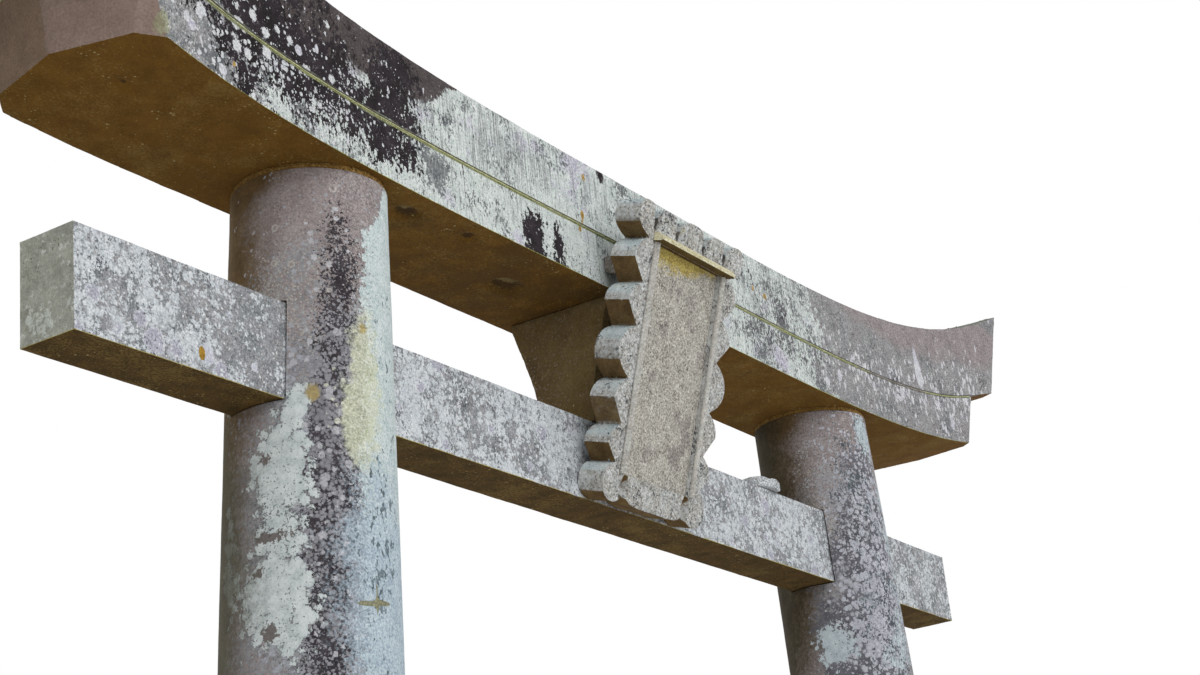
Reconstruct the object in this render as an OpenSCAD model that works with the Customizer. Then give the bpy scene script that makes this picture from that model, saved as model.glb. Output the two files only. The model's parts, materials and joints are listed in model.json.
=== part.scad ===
// A stone gate: two round pillars that lean inward, a straight tie beam let through both, two
// upswept lintels on top, and a scalloped plaque that leans forward from a strut in the middle.
// Millimetres. X runs along the beams, the front is -Y, Z is up and the ground is Z = 0.
// X = 0 is the middle of the lintels.

/* [Whole gate] */
// clear height from the ground to the underside of the tie beam
clear_h = 2700; // [1800:10:3600]
// distance between the pillars' axes, taken at the tie beam's underside
pillar_spacing = 2600; // [2000:10:3400]
// distance by which the lintels' middle lies to the right of the pillars' middle
lintel_shift = 35; // [0:1:140]

/* [Pillars] */
// diameter of a pillar at the ground
pillar_foot_d = 454; // [400:2:560]
// diameter of a pillar at the tie beam's underside
pillar_d = 382; // [300:2:400]
// inward lean of each pillar from the vertical, in degrees
pillar_lean = 3.94; // [0:0.01:6]
// thickness of the mortar bed between a pillar and the lower lintel
bed_t = 12; // [6:1:30]
// amount by which the mortar bed stands back from the pillar's rim
bed_setback = 4; // [2:1:12]
// clearance at the sides and the top of the tie beam inside each pillar's mortise
mortise_gap = 3; // [1:0.5:8]

/* [Base stones] */
// side of the square formed by the two base stones round a pillar
base_w = 860; // [820:5:1200]
// height of the base stones
base_h = 130; // [80:5:260]
// width of the weathering slope worked on the base stones' upper edge
base_slope = 45; // [20:1:90]
// open joint between the front and the back base stone
base_joint = 5; // [2:1:12]
// clearance between a base stone and the pillar's skin
base_gap = 0.3; // [0.2:0.1:10]

/* [Tie beam] */
// height of the tie beam
tie_h = 230; // [160:2:300]
// depth of the tie beam, front to back
tie_d = 150; // [110:2:180]
// half length of the tie beam
tie_half = 2057; // [1900:1:2600]
// distance by which the tie beam's middle lies to the left of the pillars' middle
tie_shift = 24; // [0:1:80]
// open joint between two lengths of the tie beam, hidden inside the pillar
tie_joint = 4; // [2:1:10]

/* [Lintels] */
// height of the lower lintel's underside above the tie beam's underside
lintel_rise = 568; // [480:1:700]
// depth of the lower lintel in the middle, front to back
lintel_d = 379; // [366:1:480]
// amount by which each face of the lintels flares outward at the reference half length
end_flare = 49; // [10:1:80]
// height of the lower lintel in the middle
lower_h = 146; // [100:1:220]
// upward sweep of the lower lintel's underside at the reference half length
lower_sweep = 42; // [20:1:150]
// upward sweep of the joint between the lintels at the reference half length
joint_sweep = 66; // [30:1:170]
// height of the upper lintel in the middle
upper_h = 192; // [130:1:280]
// upward sweep of the upper lintel's top edge at the reference half length
top_sweep = 134; // [60:1:240]
// half length at which the three sweeps and the flare are measured
sweep_ref = 2000; // [1800:5:2500]
// half length of the lower lintel at its front bottom corner
lower_half = 2009; // [1850:1:2400]
// half length of the upper lintel at its front bottom corner
upper_half = 2227; // [2150:1:2700]
// outward rake of the lintels' end corners, in degrees
end_rake = 23; // [14:1:32]
// outward rake of the ridge in the middle of each end, in degrees
ridge_rake = 10; // [5:1:20]
// width of the bevel at the foot of the lower lintel's end corners, measured along the beam
bevel_x = 51; // [20:1:90]
// width of the bevel at the foot of the lower lintel's end corners, measured front to back
bevel_y = 47; // [15:1:60]
// size of the upper lintel's bevels against the lower one's
bevel_growth = 1.6; // [1:0.1:2]
// projection of the ridge in the middle of each end beyond the bevels
end_ridge = 43; // [10:1:80]
// amount by which the upper lintel oversails the lower one, front and back
upper_oversail = 7; // [3:0.5:25]
// thickness of the mortar between the lintels
joint_t = 5; // [3:0.5:12]
// amount by which the mortar between the lintels stands back from the lower one's faces
joint_setback = 2; // [1:0.5:8]
// pitch of the upper lintel's top, front and back, in degrees
top_pitch = 4; // [2:0.5:10]

/* [Strut] */
// distance of the strut's and the plaque's middle to the left of the pillars' middle
plaque_shift = 73; // [0:1:100]
// width of the strut along the beam
strut_w = 300; // [240:2:440]
// depth of the strut where it stands on the tie beam
strut_foot_d = 166; // [152:2:200]
// depth of the strut under the lower lintel
strut_head_d = 322; // [240:2:360]

/* [Plaque] */
// thickness of the scalloped slab
slab_t = 80; // [50:1:100]
// overall height of the slab, along its own slope
slab_h = 805; // [700:1:900]
// half width of the slab at the deepest point between two lobes
slab_neck = 211; // [200:1:240]
// usual projection of a lobe beyond the neck
lobe_out = 56; // [30:1:70]
// forward lean of the plaque from the vertical, in degrees
plaque_lean = 17; // [12:0.5:22]
// height of the slab's lower back edge above the tie beam's underside
plaque_rise = 4; // [0:1:40]
// depth to which the slab's lower back edge is cut to fit against the tie beam
seat_cut = 10; // [4:0.5:20]
// half width of the sunk panel
panel_half = 165; // [120:1:170]
// distance from the slab's lower edge to the panel's lower edge
panel_low = 80; // [60:1:110]
// height of the sunk panel
panel_h = 624; // [480:2:640]
// depth of the recess that the panel lies in
recess_t = 22; // [14:1:34]
// thickness of the panel
panel_t = 10; // [6:1:13]
// width of the upright mouldings beside the panel
mould_w = 22; // [12:1:30]
// projection of the upright mouldings from the slab's face
mould_out = 11; // [6:1:20]
// height of the small eave over the panel
eave_h = 26; // [16:1:40]
// projection of the small eave from the slab's face
eave_out = 30; // [18:1:48]
// overhang of the small eave beyond the mouldings at each end
eave_over = 8; // [2:1:14]

/* [Packings] */
// distance of each mortar packing's outer side from the middle of the plaque
pack_half = 200; // [150:1:205]
// width of a packing along the beam
pack_w = 60; // [30:1:110]
// height of a packing's foot above the lower lintel's underside
pack_rise = 40; // [25:1:70]
// height of a packing on the lintel's face
pack_h = 48; // [25:1:70]
// amount by which a packing's foot sinks toward the plaque
pack_sink = 25; // [0:1:25]

/* [Loose stone] */
// length of the loose stone lying on the tie beam
pebble_l = 155; // [120:1:260]
// width of the loose stone
pebble_w = 70; // [40:1:100]
// thickness of the loose stone
pebble_t = 38; // [22:1:80]
// distance of the loose stone's middle from the right pillar's axis
pebble_in = 550; // [400:5:700]

/* [Hidden] */
$fn = 96;
// heights of the tie beam's underside and top
tie_z = clear_h;
tie_top = tie_z + tie_h;
// the middle of the pillars, and the middle of the strut and the plaque
mid_x = -lintel_shift;
plaque_x = mid_x - plaque_shift;
// distances of a pillar's axis and of the tie beam's ends from the pillars' middle
half_spacing = pillar_spacing / 2;
tie_left = -tie_half - tie_shift;
tie_right = tie_half - tie_shift;
foot_x = half_spacing + tan(pillar_lean) * tie_z;
// loss of a pillar's radius for each millimetre of height
taper = (pillar_foot_d - pillar_d) / 2 / tie_z;
// heights of the lintels' edges in the middle
under_z = tie_z + lintel_rise;
joint_z = under_z + lower_h;
top_z = joint_z + joint_t + upper_h;
// half depths of the beams
tie_y = tie_d / 2;
lower_y = lintel_d / 2;
upper_y = lower_y + upper_oversail;
// the lintels' curves: straight runs along one half, and how sharply they sweep up
runs = 22;
edge_power = 6.4;
top_power = 4.2;
// distance from the middle past which the lintels' lower edges run on straight
straight_x = lower_half + bevel_x;
// where the flare begins, how sharply it opens, and its straight runs along one half
flare_start = 0.2 * sweep_ref;
flare_power = 3.2;
flare_runs = 19;
far_x = 1.35 * upper_half;
// a length that reaches past any one piece, for cutting blocks
reach = 2 * upper_half;

// Share of its sweep that a lower edge has gained at distance x from the middle.
gained = function (x) let (u = min(abs(x), straight_x) / sweep_ref) pow(u, edge_power)
  + edge_power * pow(u, edge_power - 1) * max(abs(x) - straight_x, 0) / sweep_ref;
// Heights of the lintels' edges at distance x from their middle.
edge_a = function (x) under_z + lower_sweep * gained(x);
edge_b = function (x) joint_z + joint_sweep * gained(x);
edge_c = function (x) edge_b(x) + joint_t;
edge_d = function (x) top_z + top_sweep * pow(abs(x) / sweep_ref, top_power);
// The same edge, moved up by dz.
raised = function (edge, dz) function (x) edge(x) + dz;
// Half depth, at distance x from the middle, of a lintel that is y deep each way in the middle.
flared = function (y, x) y + end_flare
  * pow(max(abs(x) - flare_start, 0) / (sweep_ref - flare_start), flare_power);

// Where the curves' straight runs meet, closer together toward the ends.
function station(i) = sign(i) * far_x * abs(i) / runs * (1.25 - 0.25 * abs(i) / runs);

// Points of a smooth arc from p to q, drawn toward c; the last point is left to the next arc.
function arc_points(p, c, q, n) =
  [for (i = [0:n - 1]) let (t = i / n) (1 - t) * (1 - t) * p + 2 * t * (1 - t) * c + t * t * q];

// Mirrors a piece drawn on the right to the left where side is -1.
module to_side(side) {
  mirror([side < 0 ? 1 : 0, 0, 0]) children();
}

// The band between two of the lintels' curves, over the whole gate, y deep on each side.
module band(low, high, y) {
  xs = [for (i = [-runs:runs]) station(i)];
  rotate([90, 0, 0]) linear_extrude(height = 2 * y, center = true)
    polygon(concat([for (x = xs) [x, low(x)]], [for (i = [2 * runs:-1:0]) [xs[i], high(xs[i])]]));
}

// The upright body of a lintel, y deep each way in the middle, flaring toward the ends.
module flared_body(y) {
  xs = [for (i = [0:flare_runs]) flare_start + (far_x - flare_start) * i / flare_runs];
  half = [for (x = xs) [x, flared(y, x)]];
  linear_extrude(height = 2 * top_z)
    polygon(concat(half, [for (i = [flare_runs:-1:0]) [half[i][0], -half[i][1]]],
      [for (p = half) [-p[0], -p[1]]], [for (i = [flare_runs:-1:0]) [-half[i][0], half[i][1]]]));
}

// Everything from dz above the lower lintel's underside upward.
module over_lintel(dz) {
  band(raised(edge_a, dz), raised(edge_a, dz + reach), reach);
}

// A leaning pillar's cone, its skin grown by g, from the ground up to height top.
module pillar_cone(side, g, top) {
  extra = pillar_foot_d;
  translate([mid_x, 0, 0]) to_side(side) intersection() {
    translate([foot_x, 0, 0]) rotate([0, -pillar_lean, 0]) translate([0, 0, -extra])
      cylinder(h = top + 2 * extra, r1 = pillar_foot_d / 2 + g + extra * taper,
        r2 = pillar_foot_d / 2 + g - (top + extra) * taper);
    translate([0, -reach, 0]) cube([2 * foot_x, 2 * reach, top]);
  }
}

// The tie beam between two distances from the pillars' middle, grown by g at the sides and top.
module tie_length(x0, x1, g) {
  translate([mid_x + x0, -tie_y - g, tie_z]) cube([x1 - x0, tie_d + 2 * g, tie_h + g]);
}

module pillar(side) {
  color("#9b9397") difference() {
    pillar_cone(side, 0, under_z + lower_h);
    tie_length(tie_left, tie_right, mortise_gap);
    over_lintel(-bed_t);
  }
}

module head_mortar(side) {
  color("#b9ad93") difference() {
    intersection() {
      pillar_cone(side, -bed_setback, under_z + lower_h);
      over_lintel(-bed_t);
    }
    over_lintel(0);
  }
}

// A base stone; face is -1 for the front one of a pair and 1 for the back one.
module base_stone(side, face) {
  w = base_w / 2;
  shoulder = base_h - 0.6 * base_slope;
  j = base_joint / 2;
  color("#8f8a8a") difference() {
    translate([mid_x, 0, 0]) to_side(side) translate([foot_x, 0, 0]) intersection() {
      rotate([90, 0, 0]) linear_extrude(height = 2 * base_w, center = true)
        polygon([[-w, 0], [w, 0], [w, shoulder], [w - base_slope, base_h],
          [base_slope - w, base_h], [-w, shoulder]]);
      rotate([90, 0, 90]) linear_extrude(height = 2 * base_w, center = true)
        polygon([[face * j, 0], [face * w, 0], [face * w, shoulder],
          [face * (w - base_slope), base_h], [face * j, base_h]]);
    }
    pillar_cone(side, base_gap, 2 * base_h);
  }
}

// Tilt of a plane turned by turn that gives a line running straight along the beam that rake.
leaned = function (rake, turn) atan(tan(rake) * cos(turn));

// The space beyond a lintel's raked, ridged and bevelled end, on the right, k times as bevelled.
module end_waste(half, z0, y, k) {
  ridge_turn = atan2(end_ridge, y - k * bevel_y);
  bevel_turn = atan2(bevel_x, bevel_y);
  for (s = [-1, 1]) {
    translate([half + k * bevel_x + end_ridge, 0, z0]) rotate([0, 0, s * ridge_turn])
      rotate([0, leaned(ridge_rake, ridge_turn), 0]) translate([0, -reach, -reach])
        cube(2 * reach);
    translate([half, s * y, z0]) rotate([0, 0, s * bevel_turn])
      rotate([0, leaned(end_rake, bevel_turn), 0]) translate([0, -reach, -reach])
        cube(2 * reach);
  }
}

// One length of a course of the lintels: the side of it that runs from the joint behind the
// plaque to a shaped end, with its faces y from the middle.
module course(side, low, high, y, half, z0, k) {
  difference() {
    intersection() {
      band(low, high, 2 * y);
      flared_body(y);
      translate([plaque_x, 0, 0]) to_side(side) translate([0, -reach, 0]) cube(2 * reach);
    }
    to_side(side) end_waste(half, z0, flared(y, half), k);
  }
}

module lower_lintel(side) {
  color("#a9a6aa") course(side, edge_a, edge_b, lower_y, lower_half, edge_a(lower_half), 1);
}

module lintel_mortar(side) {
  color("#b3ab5c") course(side, edge_b, edge_c, lower_y - joint_setback,
    lower_half - 2 * joint_setback, edge_a(lower_half), 1);
}

// The space under the top where it is pitched down to one face, the front or the back.
module under_pitch(face) {
  translate([0, face * upper_y, top_z]) rotate([-face * top_pitch, 0, 0])
    translate([0, -face * upper_y, -top_z])
      band(raised(edge_c, -upper_h), edge_d, 2 * upper_y);
}

module upper_lintel(side) {
  color("#a9a6aa") intersection() {
    course(side, edge_c, raised(edge_d, upper_h), upper_y, upper_half, edge_c(upper_half),
      bevel_growth);
    under_pitch(-1);
    under_pitch(1);
  }
}

// Strut between the tie beam and the lower lintel, flaring to the front and back as it rises.
module strut() {
  h = lintel_rise - tie_h;
  steps = 8;
  top = 1.1;
  half_depth = function (t) (strut_foot_d + (strut_head_d - strut_foot_d) * sin(90 * min(t, 1))
    * min(t, 1)) / 2;
  ts = [for (i = [0:steps]) top * i / steps];
  color("#8b7d74") difference() {
    translate([plaque_x - strut_w / 2, 0, tie_top])
      rotate([90, 0, 90]) linear_extrude(height = strut_w)
        polygon(concat([for (t = ts) [-half_depth(t), h * t]],
          [for (i = [steps:-1:0]) [half_depth(ts[i]), h * ts[i]]]));
    over_lintel(0);
  }
}

// Places a piece drawn flat, with its back at Z = 0 and its foot at Y = 0, in the plaque's plane.
module on_plaque() {
  translate([plaque_x, -tie_y + seat_cut, tie_z + plaque_rise])
    rotate([90 + plaque_lean, 0, 0]) children();
}

// The lobes up the slab's right side: heights of the lower notch, the tip and the upper notch as
// parts of the slab's height, the tip's projection, and 1 where the lobe is round below its tip.
side_lobes = [[0.128, 0.18, 0.251, 0.84, 0], [0.251, 0.329, 0.404, 0.92, 0],
  [0.404, 0.491, 0.58, 1.14, 1], [0.58, 0.651, 0.726, 0.96, 0], [0.726, 0.796, 0.878, 1.02, 0]];

// One side lobe, from its lower notch to its upper one.
function side_lobe(l) = let (
    tip = [slab_neck + lobe_out * l[3], slab_h * l[1]],
    low = [slab_neck, slab_h * l[0]],
    high = [slab_neck, slab_h * l[2]],
    under = l[4] == 1 ? [tip[0], 0.6 * low[1] + 0.4 * tip[1]] : (low + tip) / 2,
    over = [tip[0] - 0.05 * lobe_out, 0.3 * tip[1] + 0.7 * high[1]])
  concat(arc_points(low, under, tip, l[4] == 1 ? 5 : 1), arc_points(tip, over, high, 5));

// The outline's right half from the middle of the foot to the middle of the head.
function half_outline() = let (
    n = slab_neck, o = lobe_out, h = slab_h,
    foot_notch = [0.73 * n, 0.056 * h], foot_tip = [n + 0.82 * o, 0.066 * h],
    foot_low = [0.97 * n, 0], foot_high = [n, 0.128 * h],
    head_low = [n, 0.878 * h], head_out = [n + 1.16 * o, 0.945 * h],
    head_top = [n + 0.5 * o, h], head_notch = [0.86 * n, 0.972 * h],
    crown_top = [0.62 * n, 0.996 * h], crown_notch = [0.33 * n, 0.962 * h])
  concat(
    arc_points([0, 0.004 * h], [0.4 * n, 0], [0.5 * n, 0.006 * h], 2),
    arc_points([0.5 * n, 0.006 * h], [0.68 * n, 0.012 * h], foot_notch, 4),
    arc_points(foot_notch, [0.76 * n, 0], foot_low, 5),
    arc_points(foot_low, [n + 0.8 * o, 0], foot_tip, 5),
    arc_points(foot_tip, [n + 0.76 * o, 0.12 * h], foot_high, 4),
    [for (l = side_lobes) each side_lobe(l)],
    arc_points(head_low, [head_out[0], 0.9 * h], head_out, 5),
    arc_points(head_out, [head_out[0], h], head_top, 5),
    arc_points(head_top, [0.92 * n, h], head_notch, 5),
    arc_points(head_notch, [0.8 * n, 0.998 * h], crown_top, 4),
    arc_points(crown_top, [0.4 * n, 0.996 * h], crown_notch, 4),
    arc_points(crown_notch, [0.26 * n, h], [0, h], 5));

// Scalloped slab with the recess for its panel, cut to sit flat against the tie beam.
module plaque_slab() {
  half = half_outline();
  last = len(half) - 1;
  color("#a8a5a4") difference() {
    on_plaque() difference() {
      linear_extrude(height = slab_t)
        polygon(concat(half, [[0, slab_h]], [for (i = [last:-1:1]) [-half[i][0], half[i][1]]]));
      translate([-panel_half, panel_low, slab_t - recess_t])
        cube([2 * panel_half, panel_h, 2 * recess_t]);
    }
    tie_length(-half_spacing, half_spacing, 0);
  }
}

module plaque_panel() {
  color("#9d9894") on_plaque()
    translate([-panel_half, panel_low, slab_t - recess_t])
      cube([2 * panel_half, panel_h, panel_t]);
}

// An upright moulding beside the panel: a broad bead with a lower fillet on its outer side.
module moulding(side) {
  w = mould_w;
  d = mould_out;
  color("#a19d9b") on_plaque() to_side(side)
    translate([panel_half, panel_low + panel_h, slab_t]) rotate([90, 0, 0])
      linear_extrude(height = panel_h)
        polygon(concat([[0, 0]], arc_points([0, 0.5 * d], [0.36 * w, 1.5 * d], [0.74 * w, 0.5 * d], 6),
          [[0.74 * w, 0.42 * d], [w, 0.42 * d], [w, 0]]));
}

// Small eave over the panel, across both mouldings' heads, sloped on top like a little roof.
module plaque_eave() {
  half = panel_half + mould_w + eave_over;
  color("#a8a07c") on_plaque()
    translate([-half, panel_low + panel_h, slab_t])
      rotate([90, 0, 90]) linear_extrude(height = 2 * half)
        polygon([[0, 0], [0, 0.85 * eave_out], [0.12 * eave_h, eave_out],
          [0.5 * eave_h, eave_out], [eave_h, 0.35 * eave_out], [eave_h, 0]]);
}

// The two mortar packings, each from the lower lintel's face to the slab's leaning back.
module plaque_packings() {
  back = function (z) -tie_y + seat_cut - tan(plaque_lean) * (z - tie_z - plaque_rise);
  low = under_z + pack_rise;
  high = low + pack_h;
  foot = low - pack_sink;
  color("#8d857c") for (s = [-1, 1])
    translate([plaque_x + s * (pack_half - pack_w / 2) - pack_w / 2, 0, 0])
      rotate([90, 0, 90]) linear_extrude(height = pack_w)
        polygon([[-lower_y, low], [-lower_y, high], [back(high), high], [back(foot), foot]]);
}

// Flat water-worn stone left lying on the tie beam, a little over its front edge.
module loose_stone() {
  l = pebble_l / 2;
  w = pebble_w / 2;
  t = pebble_t;
  turn = -12;
  color("#b4b0ad") translate([mid_x + half_spacing - pebble_in, -0.75 * tie_y, tie_top])
    rotate([0, 0, turn]) intersection() {
      linear_extrude(height = t)
        polygon([[-l, 0.1 * w], [-0.86 * l, 0.7 * w], [-0.4 * l, w], [0.3 * l, 0.9 * w],
          [0.82 * l, 0.75 * w], [l, 0.2 * w], [0.9 * l, -0.5 * w], [0.36 * l, -0.9 * w],
          [-0.3 * l, -w], [-0.84 * l, -0.6 * w]]);
      rotate([90, 0, 0]) linear_extrude(height = 4 * w, center = true)
        polygon([[-0.8 * l, 0], [0.86 * l, 0], [l, 0.3 * t], [0.96 * l, 0.74 * t],
          [0.6 * l, t], [0.1 * l, 0.86 * t], [-0.5 * l, 0.94 * t], [-0.88 * l, 0.8 * t],
          [-l, 0.4 * t]]);
    }
}

module left_pillar() { pillar(-1); }
module right_pillar() { pillar(1); }
module left_base_front() { base_stone(-1, -1); }
module left_base_back() { base_stone(-1, 1); }
module right_base_front() { base_stone(1, -1); }
module right_base_back() { base_stone(1, 1); }
module left_head_mortar() { head_mortar(-1); }
module right_head_mortar() { head_mortar(1); }
module tie_beam_left_end() {
  color("#a5a0a3") tie_length(tie_left, -half_spacing - tie_joint / 2, 0);
}
module tie_beam_middle() {
  color("#a5a0a3") tie_length(-half_spacing + tie_joint / 2, half_spacing - tie_joint / 2, 0);
}
module tie_beam_right_end() {
  color("#a5a0a3") tie_length(half_spacing + tie_joint / 2, tie_right, 0);
}
module lower_lintel_left() { lower_lintel(-1); }
module lower_lintel_right() { lower_lintel(1); }
module lintel_mortar_left() { lintel_mortar(-1); }
module lintel_mortar_right() { lintel_mortar(1); }
module upper_lintel_left() { upper_lintel(-1); }
module upper_lintel_right() { upper_lintel(1); }
module plaque_left_moulding() { moulding(-1); }
module plaque_right_moulding() { moulding(1); }

left_pillar();
right_pillar();
left_base_front();
left_base_back();
right_base_front();
right_base_back();
left_head_mortar();
right_head_mortar();
tie_beam_left_end();
tie_beam_middle();
tie_beam_right_end();
lower_lintel_left();
lower_lintel_right();
lintel_mortar_left();
lintel_mortar_right();
upper_lintel_left();
upper_lintel_right();
strut();
plaque_slab();
plaque_panel();
plaque_left_moulding();
plaque_right_moulding();
plaque_eave();
plaque_packings();
loose_stone();
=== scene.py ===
"""Looks of a weathered granite gate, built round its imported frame.

The stones are copies of the frame's solids, worn round at their arrises, and each finish grows
its lichens, stains and bare places where the gate has them. Metres; X runs along the beams,
the front is -Y and the ground is Z = 0.
"""

import json
import logging
import math
from abc import ABC, abstractmethod
from dataclasses import dataclass, field, replace
from enum import Enum

import bmesh
import bpy
from mathutils import Euler, Matrix, Vector

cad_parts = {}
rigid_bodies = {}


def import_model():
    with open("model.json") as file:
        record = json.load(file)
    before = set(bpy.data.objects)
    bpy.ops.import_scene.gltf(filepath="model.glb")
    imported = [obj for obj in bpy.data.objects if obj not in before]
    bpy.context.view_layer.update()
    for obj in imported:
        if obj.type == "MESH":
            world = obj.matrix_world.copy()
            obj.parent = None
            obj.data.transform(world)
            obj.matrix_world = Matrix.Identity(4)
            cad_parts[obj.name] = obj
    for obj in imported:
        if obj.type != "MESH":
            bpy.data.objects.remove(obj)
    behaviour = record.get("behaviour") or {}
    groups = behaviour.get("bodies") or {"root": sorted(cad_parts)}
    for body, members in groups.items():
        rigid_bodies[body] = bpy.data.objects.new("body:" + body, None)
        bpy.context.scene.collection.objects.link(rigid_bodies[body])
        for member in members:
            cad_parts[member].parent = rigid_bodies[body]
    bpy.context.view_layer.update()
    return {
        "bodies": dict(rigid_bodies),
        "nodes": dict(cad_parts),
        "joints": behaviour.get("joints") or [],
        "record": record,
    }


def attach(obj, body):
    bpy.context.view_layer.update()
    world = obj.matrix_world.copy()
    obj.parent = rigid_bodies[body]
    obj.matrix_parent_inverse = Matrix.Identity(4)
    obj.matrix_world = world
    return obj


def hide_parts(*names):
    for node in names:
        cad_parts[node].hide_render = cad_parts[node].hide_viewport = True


LOG = logging.getLogger("gate")
BODY = "root"
MM = 0.001

# What a node's input can be given: a number, a colour, a socket, or a node's first output.
Value = float | tuple | bpy.types.NodeSocket | bpy.types.Node
# One of the gate's curves: height in the middle, rise at the reference half length, and power.
Curve = tuple[float, float, float]

# The gate's own lines, in metres, as its construction source has them.
PILLAR_MIDDLE = -0.035
PILLAR_FOOT = 1.486
PILLAR_LEAN = math.radians(3.94)
PLAQUE_MIDDLE = -0.108
TIE_BEAM_EDGE: Curve = (2.701, 0.0, 1.0)
UNDERSIDE: Curve = (3.268, 0.042, 6.4)
JOINT_GAP = 0.005
# The middle of the joint between the lintels.
JOINT: Curve = (3.414 + JOINT_GAP / 2, 0.066, 6.4)
SWEEP_REF = 2.0
LINTEL_FACE = 0.1895
FLARE_START = 0.4
FLARE = 0.049
FLARE_POWER = 3.2
# Places on a pillar's skin are measured round it at this radius.
PILLAR_RADIUS = 0.2


def linear(code: str) -> tuple[float, float, float, float]:
    """Turns an sRGB hex colour into linear values.

    Args:
        code: the colour as six hex digits after a number sign.

    Returns:
        Red, green, blue and full alpha.
    """
    parts = [int(code[i : i + 2], 16) / 255 for i in (1, 3, 5)]
    r, g, b = [p / 12.92 if p <= 0.04045 else ((p + 0.055) / 1.055) ** 2.4 for p in parts]
    return r, g, b, 1.0


def add(
    tree: bpy.types.NodeTree, kind: str, inputs: dict | None = None, **settings: str
) -> bpy.types.Node:
    """Adds a node with its settings, values and links.

    Args:
        tree: the node tree.
        kind: the node's type name.
        inputs: input name or number to a value, a socket, or a node whose first output is used.
        settings: properties of the node.

    Returns:
        The new node.
    """
    node = tree.nodes.new(kind)
    for name, value in settings.items():
        setattr(node, name, value)
    for key, value in (inputs or {}).items():
        if isinstance(key, str):
            socket = next(s for s in node.inputs if s.name == key and s.enabled)
        else:
            socket = node.inputs[key]
        if isinstance(value, bpy.types.Node):
            value = next(s for s in value.outputs if s.enabled)
        if isinstance(value, bpy.types.NodeSocket):
            tree.links.new(value, socket)
        else:
            socket.default_value = value
    return node


def curve_height(line: Curve, x: float) -> float:
    """Height of one of the lintels' curves at a distance from their middle."""
    middle, rise, power = line
    return middle + rise * (abs(x) / SWEEP_REF) ** power


def face_depth(x: float) -> float:
    """Distance of the lower lintel's flaring face from the middle plane, at a place along it."""
    share = max(abs(x) - FLARE_START, 0.0) / (SWEEP_REF - FLARE_START)
    return LINTEL_FACE + FLARE * share**FLARE_POWER


class Side(Enum):
    """Which way a surface looks, for a layer that grows only there."""

    ALL = "all"
    FACE = "face"
    UNDER = "under"
    TOP = "top"
    END = "end"
    REAR_END = "rear end"


@dataclass(frozen=True)
class Spot:
    """A soft ellipse, seen from the front, where a layer grows thicker (gain > 0) or thinner.

    It runs through the whole depth unless it is given a place y and a reach along that axis.
    """

    x: float
    z: float
    half_width: float
    half_height: float
    gain: float
    y: float = 0.0
    reach: float = 1000.0


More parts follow.
